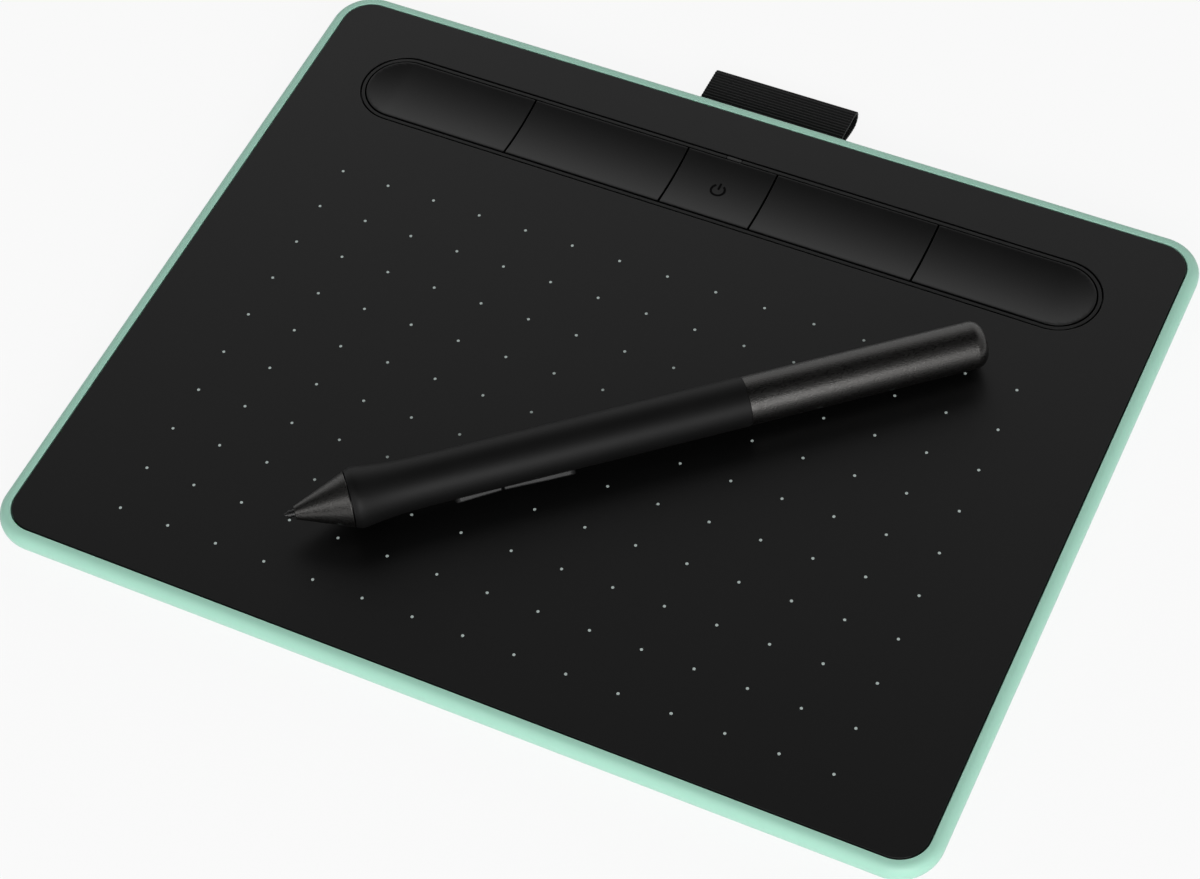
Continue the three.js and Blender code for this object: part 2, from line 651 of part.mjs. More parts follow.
// The digitizer board, with its corners cut back from the cover's bosses.
function sensorBoard() {
  const zSpan = [sensorUnder, sensorTop];
  const corners = screwSpots.map((spot) =>
    post(CASE_BOSS_RADIUS + 2 * SLIP_GAP, spot, [sensorUnder - 1, sensorTop + 1]),
  );
  return without(block([-sensorHalfX, sensorHalfX], [sensorFront, sensorRear], zSpan), corners);
}

function usbSocket() {
  const [z0, z1] = usbZ;
  const middleZ = (z0 + z1) / 2;
  const inner = block(
    [usbMouth - 1, usbMouth + USB.length - 1],
    around(trayY, USB.width - 2 * USB.wall),
    [z0 + USB.wall, z1 - USB.wall],
  );
  const tongue = block(
    [usbMouth + 1, usbMouth + USB.length - 0.5],
    around(trayY, USB.width / 2),
    around(middleZ + 0.2, USB.tongue),
  );
  return block([usbMouth, usbMouth + USB.length], around(trayY, USB.width), usbZ)
    .subtract(inner)
    .add(tongue);
}

function domeSwitch(x) {
  const { side, body, button, buttonRadius } = DOME_SWITCH;
  const z = boardTop + SEAT_GAP;
  return joined([
    block(around(x, side), around(trayY, side), [z, z + body]),
    post(buttonRadius, [x, trayY], [z + body - 0.1, z + body + button]),
  ]);
}

const onBoard = (x, y, length, width, height) =>
  block(around(x, length), around(y, width), [boardTop + SEAT_GAP, boardTop + SEAT_GAP + height]);

// The film cable that steps down from the sensor board's underside to the main board.
function flatCable() {
  const { width, thickness, centreX, overlap } = FLAT_CABLE;
  const high = shieldTop - thickness;
  const low = boardTop + SEAT_GAP;
  const leave = sensorRear + 0.4;
  const land = boardFront - 0.2;
  const path = [
    [sensorRear - SHIELD.inset + SEAT_GAP, high],
    [leave, high],
    [land, low],
    [boardFront + overlap, low],
  ];
  const under = path.map(([y, z]) => new THREE.Vector2(y, z));
  const over = path.map(([y, z]) => new THREE.Vector2(y, z + thickness)).reverse();
  const section = new THREE.Shape([...under, ...over]);
  return drawnAlongX(section, around(centreX, width), 1);
}

const plugY = boardFront + 0.3 + LEAD_PLUG.width / 2;
const leadZ = boardTop + SEAT_GAP + LEAD_PLUG.height / 2;

// The battery's lead, from the pouch's rear edge to its plug.
function batteryLead() {
  const start = new THREE.Vector3(LEAD.offsetX - 4, batteryRear + SEAT_GAP, batteryMiddleZ);
  const end = new THREE.Vector3(LEAD.offsetX, plugY - LEAD_PLUG.width / 2 - SEAT_GAP, leadZ);
  const bendY = (start.y + end.y) / 2;
  const path = new THREE.CatmullRomCurve3([
    start,
    new THREE.Vector3(start.x, bendY - 1.2, start.z),
    new THREE.Vector3(end.x, bendY + 0.5, leadZ),
    end,
  ]);
  const section = new THREE.Shape(roundedOutline(LEAD.radius, LEAD.radius, LEAD.radius - 1e-3, 2));
  return solidOf(
    new THREE.ExtrudeGeometry(section, { steps: 12, extrudePath: path, bevelEnabled: false }),
  );
}

function batteryPack() {
  const [under, top] = batteryZ;
  const half = BATTERY.width / 2;
  const middle = batteryRear - half;
  const edge = (inset) => roundedOutline(BATTERY.length / 2 - inset, half - inset, 1.5, 3);
  return skinned([
    { outline: edge(0.4), z: under },
    { outline: edge(0), z: under + 0.4 },
    { outline: edge(0), z: top - 0.4 },
    { outline: edge(0.4), z: top },
  ]).translate([BATTERY.centreX, middle, 0]);
}

// ---------------------------------------------------------------------------------------------------
// Pen loop
// ---------------------------------------------------------------------------------------------------

const foldY = caseHalfY + LOOP.reach - LOOP.foldRadius;

// The teardrop that the ribbon's outer or inner face makes, from its crotch out and back.
function teardrop(path, crotchY, [lowZ, highZ], radius) {
  const span = foldY - crotchY;
  path.moveTo(crotchY, lowZ);
  path.bezierCurveTo(
    crotchY + span * 0.35, lowZ - 0.35 * (lowZ - LOOP_FOLD_HEIGHT + radius),
    crotchY + span * 0.7, LOOP_FOLD_HEIGHT - radius,
    foldY, LOOP_FOLD_HEIGHT - radius,
  );
  path.absarc(foldY, LOOP_FOLD_HEIGHT, radius, -Math.PI / 2, Math.PI / 2, false);
  path.bezierCurveTo(
    crotchY + span * 0.7, LOOP_FOLD_HEIGHT + radius + 0.1,
    crotchY + span * 0.4, highZ,
    crotchY, highZ,
  );
}

function penLoop() {
  const shape = new THREE.Shape();
  const leaveY = caseHalfY - 1;
  teardrop(shape, leaveY, [loopUnder, LOOP_TOP], LOOP.foldRadius);
  shape.lineTo(loopTailY + SEAT_GAP, LOOP_TOP);
  shape.lineTo(loopTailY + SEAT_GAP, loopUnder);
  shape.closePath();
  const hole = new THREE.Path();
  const middleZ = (loopUnder + LOOP_TOP) / 2;
  teardrop(hole, leaveY + 1.4, [middleZ, middleZ], LOOP.foldRadius - LOOP.thickness);
  hole.closePath();
  shape.holes.push(hole);
  return drawnAlongX(shape, around(LOOP.centreX, LOOP.width), 8);
}

// The staple that holds the ribbon's tail down on the shell's shelf.
function loopClamp() {
  const ySpan = [loopTailY + 2 * SEAT_GAP, loopTailY + CLAMP.width];
  const under = LOOP_TOP + SEAT_GAP;
  const outer = LOOP.width + 2 * CLAMP.side;
  const legs = [-1, 1].map((side) => {
    const inner = LOOP.centreX + side * (LOOP.width / 2 + 4 * SLIP_GAP);
    const end = LOOP.centreX + (side * outer) / 2;
    return block([Math.min(inner, end), Math.max(inner, end)], ySpan, [loopUnder, under + 0.1]);
  });
  const bar = block(around(LOOP.centreX, outer), ySpan, [under, under + CLAMP.thickness]);
  return joined([bar, ...legs]);
}

// ---------------------------------------------------------------------------------------------------
// Pen: stations run along +X from the nib's tip, and the side switches face +Z
// ---------------------------------------------------------------------------------------------------

function gripRadius(station) {
  const past = Math.max(0, station - GRIP.flareAt);
  const share = Math.exp(-((past / GRIP_FADE.length) ** GRIP_FADE.power));
  return GRIP.waist + (GRIP.flare - GRIP.waist) * share;
}

function noseCone() {
  const { mouth, base, end, bore, spigot, wall } = CONE;
  const neck = GRIP.bore - SEAT_GAP;
  const throat = NIB.show + 3;
  return turned([
    [NIB.show, bore],
    [NIB.show, mouth - 0.1],
    [NIB.show + 0.1, mouth],
    [end, base],
    [end, neck],
    [end + spigot, neck],
    [end + spigot, neck - wall],
    [end, neck - wall],
    [throat, bore],
    [NIB.show, bore],
  ]);
}

function penGrip() {
  const fade = [0, 1, 2.2, 3.8, 6, 9, 13, 19].map((past) => GRIP.flareAt + past);
  const outer = fade.map((station) => [station, gripRadius(station)]);
  const shell = turned([
    [GRIP.start, GRIP.bore],
    [GRIP.start, GRIP.lip],
    [GRIP.start + 0.35, GRIP.lip + 0.14],
    [(GRIP.start + GRIP.flareAt) / 2 + 0.2, GRIP.flare - 0.09],
    ...outer,
    [GRIP.end, GRIP.waist],
    [GRIP.end, GRIP.bore],
    [GRIP.start, GRIP.bore],
  ]);
  const window = block(
    [SWITCH.start - SLIP_GAP, SWITCH.end + SLIP_GAP],
    around(0, SWITCH.width + 2 * SLIP_GAP),
    [1, GRIP.flare + 1],
  );
  return shell.subtract(window);
}

// A side switch between two stations: a crowned bar with a flange that stays inside the grip.
function sideSwitch(from, to) {
  const bar = block([from, to], around(0, SWITCH.width), [flangeTop - 0.1, SWITCH.crest + 1]);
  const crowned = bar.intersect(tube(SWITCH.crest, 0, [from - 1, to + 1], 64));
  const flange = block(
    [from + 0.4, to - 0.4],
    around(0, SWITCH_FLANGE.width),
    [flangeTop - SWITCH_FLANGE.thickness, flangeTop],
  );
  return crowned.add(flange);
}

// The chassis: a trough under the boards, ending in the threaded spigot for the rear barrel.
function penCore() {
  const reach = coreOuter + 1;
  const below = block([CORE.start - 1, spigotEnd], [-reach, reach], [-reach, -SEAT_GAP]);
  const trough = tube(coreOuter, coreInner, [CORE.start, spigotStart + 0.2]).intersect(below);
  const sleeve = tube(coreOuter, spigotBore, [spigotStart, GRIP.end - SEAT_GAP]);
  const spigot = tube(spigotRadius, spigotBore, [GRIP.end - 1, spigotEnd]);
  return joined([trough, sleeve, spigot]);
}

function penNib(from) {
  return turned(
    [
      [from, 0],
      [from + 0.12, NIB.tipRadius * 0.7],
      [from + 0.5, NIB.tipRadius],
      [from + 1.6, NIB.radius],
      [from + NIB.length, NIB.radius],
      [from + NIB.length, 0],
    ],
    SMALL_SIDES,
  );
}

function nibSocket() {
  const { start, end, radius, depth } = NIB_SOCKET;
  const cup = tube(radius, 0, [start, end], SMALL_SIDES);
  return cup.subtract(tube(NIB.radius + SLIP_GAP, 0, [start - 1, start + depth], SMALL_SIDES));
}

const nibHoles = Array.from({ length: SPARE_NIBS }, (_, i) => {
  const angle = (i * 2 * Math.PI) / SPARE_NIBS;
  const pitch = holderRadius - NIB_HOLDER.pitchInset;
  return [pitch * Math.cos(angle), pitch * Math.sin(angle)];
});

function nibHolder() {
  const start = spigotEnd + SEAT_GAP;
  const stem = tube(spigotBore - SEAT_GAP, 0, [GRIP.end, start + 0.2]);
  const holeSpan = [holderEnd - NIB_HOLDER.depth, holderEnd + 1];
  const hole = tube(NIB.radius + SLIP_GAP, 0, holeSpan, SMALL_SIDES);
  const holes = nibHoles.map(([y, z]) => hole.translate([0, y, z]));
  return without(tube(holderRadius, 0, [start, holderEnd]).add(stem), holes);
}

function spareNib([y, z]) {
  return penNib(holderEnd - NIB_HOLDER.depth + SEAT_GAP).translate([0, y, z]);
}

const ringSpan = [GRIP.end + 0.8, GRIP.end + 0.8 + THREAD_RING.length];
const ringInner = spigotRadius + SEAT_GAP;

function rearBarrel() {
  const start = GRIP.end + SLIP_GAP;
  const { endRound, dome } = REAR;
  const shoulder = PEN_LENGTH - dome - endRound;
  const seat = ringInner + THREAD_RING.thickness + SEAT_GAP;
  const rounding = [0, 1, 2, 3, 4].map((i) => {
    const angle = (i / 4) * (Math.PI / 2);
    const radius = barrelEndRadius - endRound * (1 - Math.cos(angle));
    return [shoulder + endRound * Math.sin(angle), radius];
  });
  return turned([
    [PEN_LENGTH - REAR.endWall, 0],
    [PEN_LENGTH - REAR.endWall, barrelBore],
    [ringSpan[1] + SEAT_GAP, barrelBore],
    [ringSpan[1] + SEAT_GAP, seat],
    [start, seat],
    [start, barrelRadius - 0.1],
    [start + 0.1, barrelRadius],
    ...rounding,
    [PEN_LENGTH, 0],
  ]);
}

function penTact(from, to) {
  const middle = (from + to) / 2;
  const z = PEN_BOARD.thickness + SEAT_GAP;
  const top = flangeTop - SWITCH_FLANGE.thickness - SWITCH_TRAVEL - SEAT_GAP;
  return joined([
    block(around(middle, 3.6), around(0, 3.2), [z, top - 0.3]),
    block(around(middle, 1.6), around(0, 1.6), [top - 0.4, top]),
  ]);
}

function penMeshes() {
  const frontSwitch = [SWITCH.start, SWITCH.split - SWITCH.slit / 2];
  const rearSwitch = [SWITCH.split + SWITCH.slit / 2, SWITCH.end];
  const ringOuter = ringInner + THREAD_RING.thickness;
  const board = block(
    [PEN_BOARD.start, spigotStart - PEN_BOARD.endGap],
    around(0, 2 * (GRIP.bore - PEN_BOARD.inset)),
    [0, PEN_BOARD.thickness],
  );
  const bore = CONE.bore;
  const windingInner = FERRITE.radius + SEAT_GAP;
  const windingOuter = coreInner - COIL.clearance;
  const sensorRadius = coreInner - PRESSURE_SENSOR.clearance;
  const sensorSpan = [PRESSURE_SENSOR.start, PRESSURE_SENSOR.end];
  return [
    meshOf("pen_grip", penGrip(), SOFT_TOUCH),
    meshOf("pen_nose_cone", noseCone(), BLACK_SATIN),
    meshOf("pen_core", penCore(), BLACK_SATIN),
    meshOf("pen_nib", penNib(0), NIB_PLASTIC),
    meshOf("pen_nib_socket", nibSocket(), STEEL),
    meshOf("pen_pressure_sensor", tube(sensorRadius, 0, sensorSpan, SMALL_SIDES), FERRITE_GREY),
    meshOf("pen_ferrite", tube(FERRITE.radius, bore, [FERRITE.start, FERRITE.end]), FERRITE_GREY),
    meshOf("pen_coil", tube(windingOuter, windingInner, [COIL.start, COIL.end]), COPPER),
    meshOf("pen_circuit_board", board, BOARD),
    meshOf("pen_switch_contact_front", penTact(...frontSwitch), STEEL),
    meshOf("pen_switch_contact_rear", penTact(...rearSwitch), STEEL),
    meshOf("pen_switch_front", sideSwitch(...frontSwitch), BLACK_KEY),
    meshOf("pen_switch_rear", sideSwitch(...rearSwitch), BLACK_KEY),
    meshOf("pen_nib_holder", nibHolder(), NIB_PLASTIC),
    ...nibHoles.map((spot, i) => meshOf(`spare_nib_${i + 1}`, spareNib(spot), NIB_PLASTIC)),
    meshOf("pen_thread_ring", tube(ringOuter, ringInner, ringSpan), STEEL),
    meshOf("pen_rear_barrel", rearBarrel(), BLACK_SATIN),
  ];
}

// The pen rests on its flare and on the end of its rear barrel, so its axis falls towards the tail.
function layPen() {
  const pen = new THREE.Group();
  pen.add(...penMeshes());
  const tailContact = PEN_LENGTH - REAR.dome - REAR.endRound;
  const fall = GRIP.flare - barrelEndRadius - (TAIL_GAP - LAY_GAP);
  const tilt = Math.asin(fall / (tailContact - GRIP.flareAt));
  const tipZ = coverTop + LAY_GAP + GRIP.flare / Math.cos(tilt) + GRIP.flareAt * Math.sin(tilt);
  const roll = THREE.MathUtils.degToRad(90 + SWITCH_DROP);
  pen.rotation.set(roll, tilt, THREE.MathUtils.degToRad(PEN_HEADING), "ZYX");
  pen.position.set(PEN_TIP.x, PEN_TIP.y, tipZ);
  return pen;
}

// ---------------------------------------------------------------------------------------------------
// Assembly
// ---------------------------------------------------------------------------------------------------

function tabletMeshes() {
  const sensor = sensorBoard();
  const shield = block(
    [-sensorHalfX + SHIELD.inset, sensorHalfX - SHIELD.inset],
    [sensorFront + SHIELD.inset, sensorRear - SHIELD.inset],
    [shieldUnder, shieldTop],
  );
  const keys = Object.entries(keyEdges);
  const ledY = trayY + (bezelInnerY + bezelOuterY) / 2;
  return [
    meshOf("base_shell", baseShell(), GREEN_PLASTIC),
    meshOf("top_cover", topCover(), BLACK_TEXTURED),
    meshOf("key_bezel", keyBezel(), BLACK_KEY),
    meshOf("light_pipe", lightPipe(), CLEAR),
    ...keys.map(([name, edges]) => meshOf(name, keyCap(edges, keyTabEdges(edges)), BLACK_KEY)),
    ...keys.map(([name, edges]) => {
      const [x0, x1] = keyTabEdges(edges);
      return meshOf(`dome_switch_${name.replace("key_", "")}`, domeSwitch((x0 + x1) / 2), STEEL);
    }),
    meshOf("sensor_board", sensor, BOARD),
    meshOf("sensor_shield", shield, STEEL),
    meshOf("main_board", mainBoard(), BOARD),
    meshOf("flat_cable", flatCable(), CABLE_WHITE),
    meshOf("usb_socket", usbSocket(), STEEL),
    meshOf(
      "radio_module",
      onBoard(RADIO.offsetX, trayY, RADIO.length, RADIO.width, RADIO.height),
      STEEL,
    ),
    meshOf(
      "controller_chip",
      onBoard(CONTROLLER.offsetX, trayY, CONTROLLER.side, CONTROLLER.side, CONTROLLER.height),
      BLACK_SATIN,
    ),
    meshOf(
      "status_led",
      onBoard(0, ledY, STATUS_LED.length, STATUS_LED.width, STATUS_LED.height),
      CLEAR,
    ),
    meshOf("battery_pack", batteryPack(), POUCH),
    meshOf("battery_lead", batteryLead(), CABLE_WHITE),
    meshOf(
      "battery_plug",
      onBoard(LEAD.offsetX, plugY, LEAD_PLUG.length, LEAD_PLUG.width, LEAD_PLUG.height),
      CABLE_WHITE,
    ),
    meshOf("pen_loop", penLoop(), RIBBON),
    meshOf("loop_clamp", loopClamp(), BLACK_SATIN),
    ...screwSpots.flatMap((spot) => [
      meshOf(`foot_${sideName(...spot)}`, rubberFoot(spot), RUBBER),
      meshOf(
        `case_screw_${sideName(...spot)}`,
        screw(CASE_SCREW, spot, screwSeat - SEAT_GAP),
        STEEL,
      ),
    ]),
    ...boardScrewSpots.map(([x, y]) =>
      meshOf(
        `board_screw_${sideName(x, y - trayY)}`,
        screw(SMALL_SCREW, [x, y], boardUnder - SEAT_GAP),
        STEEL,
      ),
    ),
  ];
}

const tablet = new THREE.Group();
tablet.add(...tabletMeshes(), layPen());
tablet.position.y = -LOOP.reach / 2;

const object = new THREE.Group();
object.add(tablet);
export default object;
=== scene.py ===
import json
import math
from contextlib import contextmanager

import bmesh
import bpy
from mathutils import Matrix, Vector


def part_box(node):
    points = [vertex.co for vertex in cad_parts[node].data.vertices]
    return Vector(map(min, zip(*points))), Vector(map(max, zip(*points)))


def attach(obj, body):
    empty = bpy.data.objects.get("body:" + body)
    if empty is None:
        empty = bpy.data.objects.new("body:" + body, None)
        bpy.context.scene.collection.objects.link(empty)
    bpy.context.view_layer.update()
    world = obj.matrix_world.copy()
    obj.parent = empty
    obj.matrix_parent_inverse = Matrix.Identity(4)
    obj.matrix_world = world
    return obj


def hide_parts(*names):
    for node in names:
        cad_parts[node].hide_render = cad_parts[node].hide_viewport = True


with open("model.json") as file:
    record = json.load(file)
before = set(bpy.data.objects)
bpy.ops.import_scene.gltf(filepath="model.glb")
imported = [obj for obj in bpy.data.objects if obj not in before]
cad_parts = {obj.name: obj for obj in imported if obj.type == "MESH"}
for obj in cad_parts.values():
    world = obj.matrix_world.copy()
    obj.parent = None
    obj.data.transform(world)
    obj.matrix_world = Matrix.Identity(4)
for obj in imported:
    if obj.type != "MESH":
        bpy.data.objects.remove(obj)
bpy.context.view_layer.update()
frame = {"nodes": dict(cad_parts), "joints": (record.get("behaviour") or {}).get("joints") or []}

# ------------------------------------------------------------------------------------------
# Sizes in millimetres, in the model's frame: +X right, +Y to the rear, +Z up, soles at 0
# ------------------------------------------------------------------------------------------

MM = 0.001
CASE_Y = -6.2  # middle of the case
CORNER = 6.2  # cover's corner radius
COVER_HALF = (97.2, 77.2)
COVER_TOP = 8.8
COVER_UNDER = 7.2
SHELL_UNDER = 0.8
WIDEST = (6.75, 6.85)  # heights of the shell's widest band
UNDER_SWEEP = 8.0  # reach of the curve from that band to the flat underside
RIM_REACH = 2.8
LIP_OUTER = 1.0
LIP_INNER = 0.3
LIP_CHAMFER = 0.1
LEDGE_TOP = 7.1  # the ledge that carries the cover
LEDGE_REACH = 0.95
INSIDE_STEPS = [(0, 2.3), (1.3, 1.5), (2.1, 1.1)]  # reach and drop, from ledge to floor
SEAM = 0.15
TRAY_Y = 50.3
TRAY_HALF = (84.53, 9.43)
BEZEL_OUTER = (84.18, 9.08)
BEZEL_INNER = (83.48, 8.38)
BEZEL_UNDER = 6.3
BEZEL_TOP = 8.7
FLANGE_REACH = 2
FLANGE_TOP = 7.1
KEY_HALF = (83.13, 8.03)
KEY_UNDER = 6.4
KEY_DISH = 0.65
KEY_LIP = 0.24  # flat margin round the dish
KEY_STRAIGHT = KEY_HALF[0] - KEY_HALF[1]  # from the bar's middle to its round ends
KEY_EDGES = {
    "key_left_outer": (-84.0, -46.725),
    "key_left_inner": (-46.275, -10.475),
    "power_key": (-10.025, 10.025),
    "key_right_inner": (10.475, 46.275),
    "key_right_outer": (46.725, 84.0),
}
CASE_SCREWS = [(x, y) for x in (-86, 86) for y in (-73.2, 60.8)]
BOARD_SCREWS = [(x, y) for x in (-62, 62) for y in (37.0, 63.7)]
FOOT_HALF = (8.0, 3.5)
FOOT_SHIFT = 3.5
DOT_COUNT = (15, 10)
DOT_PITCH = (10.886, 10.634)
DOT_MIDDLE = (0.0, -23.72)
DOT_RADIUS = 0.31
INLET_X = (-101, -94.2)
INLET_HALF = 4.05
INLET_HEIGHTS = (4.0, 7.2)
TONGUE_HALF = 1.9
TONGUE_HEIGHTS = (5.5, 6.1)
CONTACT_HALF = 0.17
CONTACT_PITCH = 0.65
CONTACT_HEIGHTS = (5.44, 5.56)
WINDOW_Y = 59.03
MARK_RADIUS = 1.72
MARK_LINE = 0.48
MARK_SHIFT = -0.1  # from the key's middle to the sign's
MARK_GAP = 0.62  # half the angle of the ring's gap, in radians
MARK_BAR = (0.24, 0.9)
MARK_BAR_SHIFT = 0.95
LOOP_MIDDLE = 1.0
LOOP_WIDTH = 33.0
LOOP_TAIL_Y = 67.0
LOOP_CROTCH_Y = 73.4
LOOP_FOLD = (84.05, 2.4)  # middle of the fold
LOOP_RADIUS = 1.75
LOOP_LAYERS = (3.6, 4.4)  # heights of the two layers in the case wall
LOOP_THICK = 0.62
LOOP_STEPS = 11
RIB_PITCH = 0.8
RIB_DEPTH = 0.22
PEN_TIP = Vector((-42.2, -64.0, 15.197))

# The pen's stations, from the nib's tip, and its radii
PEN_LENGTH = 143.9
NIB_LENGTH = 27
NIB_RADIUS = 0.8
CONE_START = 2.15
CONE_MOUTH = 1.05
GRIP_START = 13.2
GRIP_END = 93.84
GRIP_BORE = 4.2
FLARE_AT = 14.9
FLARE = 6.13
WAIST = 5.04
FLARE_FADE = (5.7, 1.3)  # length and power
SWITCH_MIDDLE = 45.575
SWITCH_HALF = (12.225, 1.9)
SWITCH_CORNER = 1.2
SWITCH_GAP = 0.15  # between the switches and their window
SWITCH_SPANS = {"front": (33.35, 42.75), "rear": (43.15, 57.8)}
SWITCH_CROWN = [(30, 0), (30, 5.96), (35, 5.88), (39, 5.7), (42.9, 5.55), (47, 5.66),
                (52, 5.84), (58, 5.92), (61, 5.92), (61, 0)]
BARREL_START = 93.9
BARREL_RADIUS = 4.84
BARREL_DOME = 0.35  # how far the rear end bulges
BARREL_ROUND = 2.6
TROUGH = (17, 87)
TROUGH_RADII = (3.3, 4.05)
SPIGOT_BORE = 2.6
SPIGOT_FOOT = 3.72
SPIGOT_CREST = 3.8
THREAD_PITCH = 0.8
RING_SPAN = (94.6, 99.0)
RING_RADII = (3.98, 4.4)
HOLDER_RADIUS = 3.5
HOLDER_END = 126.0
SPARE_START = 104.5
SPARE_CIRCLE = 1.95
SPARE_HOLE = 0.95

CAMERA_SPOT = (175.13, -333.03, 494.84)
CAMERA_TURN = (36.069, 4.0753, 25.848)
CAMERA_LENS = 90.754
CAMERA_SHIFT = (0.0753, 0.0092)
LAMP_DISTANCE = 1.6  # metres
FLOOR_SIZE = 8000
FLOOR_DROP = 0.02

# ------------------------------------------------------------------------------------------
# Bench: adding, shaping and placing pieces
# ------------------------------------------------------------------------------------------


def only(*pieces):
    """Makes these pieces the whole selection, the first one active."""
    bpy.ops.object.select_all(action="DESELECT")
    for piece in pieces:
        piece.select_set(True)
    bpy.context.view_layer.objects.active = pieces[0]


def named(name):
    """Names the primitive just added and settles its size into its mesh."""
    piece = bpy.context.object
    piece.name = piece.data.name = name
    only(piece)
    bpy.ops.object.transform_apply(location=True, rotation=True, scale=True)
    return piece


@contextmanager
def shaping(piece):
    """Holds a piece in edit mode, with nothing selected at first."""
    only(piece)
    bpy.ops.object.mode_set(mode="EDIT")
    bpy.ops.mesh.select_mode(type="VERT")
    bpy.ops.mesh.select_all(action="DESELECT")
    yield
    bpy.ops.object.mode_set(mode="OBJECT")


def pick(kind, test):
    """Selects the verts, edges or faces that pass a test, and no others."""
    bpy.ops.mesh.select_mode(type=kind.upper()[:-1])
    bpy.ops.mesh.select_all(action="DESELECT")
    data = bpy.context.edit_object.data
    mesh = bmesh.from_edit_mesh(data)
    for part in getattr(mesh, kind):
        if test(part):
            part.select_set(True)
    mesh.select_flush_mode()
    bmesh.update_edit_mesh(data)


def upright(edge):
    way = edge.verts[1].co - edge.verts[0].co
    return abs(way.z) > 0.99 * way.length


def facing(direction, share=0.99):
    """A test for faces that look one way."""
    direction = Vector(direction)
    return lambda face: face.normal.dot(direction) > share


def slab(name, half, radius, heights, centre=(0, CASE_Y), steps=16):
    """An upright block with rounded corners, between two heights."""
    low, high = heights
    bpy.ops.mesh.primitive_cube_add(
        size=1,
        location=(*centre, (low + high) / 2),
        scale=(2 * half[0], 2 * half[1], high - low),
    )
    piece = named(name)
    if radius:
        with shaping(piece):
            pick("edges", upright)
            bpy.ops.mesh.bevel(offset=radius, segments=steps, affect="EDGES")
    return piece


def stadium(name, half, heights, centre, steps=24):
    """A block with half-round ends, its short flats closed up."""
    piece = slab(name, half, half[1] - 0.002, heights, centre, steps)
    with shaping(piece):
        bpy.ops.mesh.select_all(action="SELECT")
        bpy.ops.mesh.remove_doubles(threshold=0.02)
    return piece


def post(name, radius, heights, spot, sides=32):
    low, high = heights
    bpy.ops.mesh.primitive_cylinder_add(
        vertices=sides, radius=radius, depth=high - low, location=(*spot, (low + high) / 2)
    )
    return named(name)


def along_x(name, spans, rounding=0.0, steps=5):
    """A block given by its spans in x, y and z, with its lengthwise edges rounded."""
    piece = slab(name, [(b - a) / 2 for a, b in spans[:2]], 0, spans[2],
                 [(a + b) / 2 for a, b in spans[:2]])
    if rounding:
        with shaping(piece):
            pick("edges", lambda e: abs((e.verts[1].co - e.verts[0].co).x) > 1e-3)
            bpy.ops.mesh.bevel(offset=rounding, segments=steps, affect="EDGES")
    return piece


def traced(name, corners):
    """A thread of edges through some corners, drawn by extruding from the first."""
    bpy.ops.mesh.primitive_plane_add(size=1)
    piece = named(name)
    with shaping(piece):
        bpy.ops.mesh.select_all(action="SELECT")
        bpy.ops.mesh.merge(type="CENTER")
        bpy.ops.transform.translate(value=corners[0])
        for here, there in zip(corners, corners[1:]):
            bpy.ops.mesh.extrude_vertices_move(
                TRANSFORM_OT_translate={"value": there - here})
    return piece


def modify(piece, kind, **settings):
    """Adds a modifier and applies it."""
    only(piece)
    modifier = piece.modifiers.new(kind.title(), kind)
    for key, value in settings.items():
        setattr(modifier, key, value)
    bpy.ops.object.modifier_apply(modifier=modifier.name)


def combine(piece, tools, operation):
    for tool in tools:
        modify(piece, "BOOLEAN", object=tool, operation=operation, solver="EXACT")
        bpy.data.objects.remove(tool)
    return piece


def cut(piece, *tools):
    return combine(piece, tools, "DIFFERENCE")


def fuse(piece, *parts):
    return combine(piece, parts, "UNION")


def tidy(piece, outward=False):
    """Merges corners that coincide, and turns the faces outwards where asked."""
    with shaping(piece):
        bpy.ops.mesh.select_all(action="SELECT")
        bpy.ops.mesh.remove_doubles(threshold=1e-4)
        if outward:
            bpy.ops.mesh.normals_make_consistent(inside=False)


def soften(piece, width, segments=3, angle=35):
    """Rounds every edge that turns more than an angle."""
    modify(
        piece, "BEVEL", width=width, segments=segments, limit_method="ANGLE",
        angle_limit=math.radians(angle), use_clamp_overlap=False, miter_outer="MITER_ARC",
    )


def copied(piece, name):
    made = bpy.data.objects.new(name, piece.data.copy())
    made.data.name = name
    bpy.context.scene.collection.objects.link(made)
    return made


def settle(piece, body, finish, stands_for=(), place=Matrix.Identity(4), smooth=32):
    """Brings a piece drawn in millimetres to its place, with its finish and body, and hides the
    parts it stands for.
    """
    only(piece)
    piece.matrix_world = Matrix.Scale(MM, 4) @ place
    bpy.ops.object.transform_apply(location=True, rotation=True, scale=True)
    bpy.ops.object.shade_smooth_by_angle(angle=math.radians(smooth))
    modify(piece, "WEIGHTED_NORMAL", keep_sharp=True, weight=80)
    piece.data.materials.clear()
    piece.data.materials.append(finish)
    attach(piece, body)
    if stands_for:
        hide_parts(*stands_for)
    return piece


# ------------------------------------------------------------------------------------------
# Finishes
# ------------------------------------------------------------------------------------------


class Wire:
    """A value in a shader, whose arithmetic adds Math nodes."""

    def __init__(self, shader, socket):
        self.shader, self.socket = shader, socket

    def maths(self, operation, *values):
        return self.shader.node("Math", {"operation": operation}, dict(enumerate(values)))

    def __add__(self, other):
        return self.maths("ADD", self, other)

    __radd__ = __add__

    def __sub__(self, other):
        return self.maths("SUBTRACT", self, other)

    def __rsub__(self, other):
        return self.maths("SUBTRACT", other, self)

    def __mul__(self, other):
        return self.maths("MULTIPLY", self, other)

    __rmul__ = __mul__


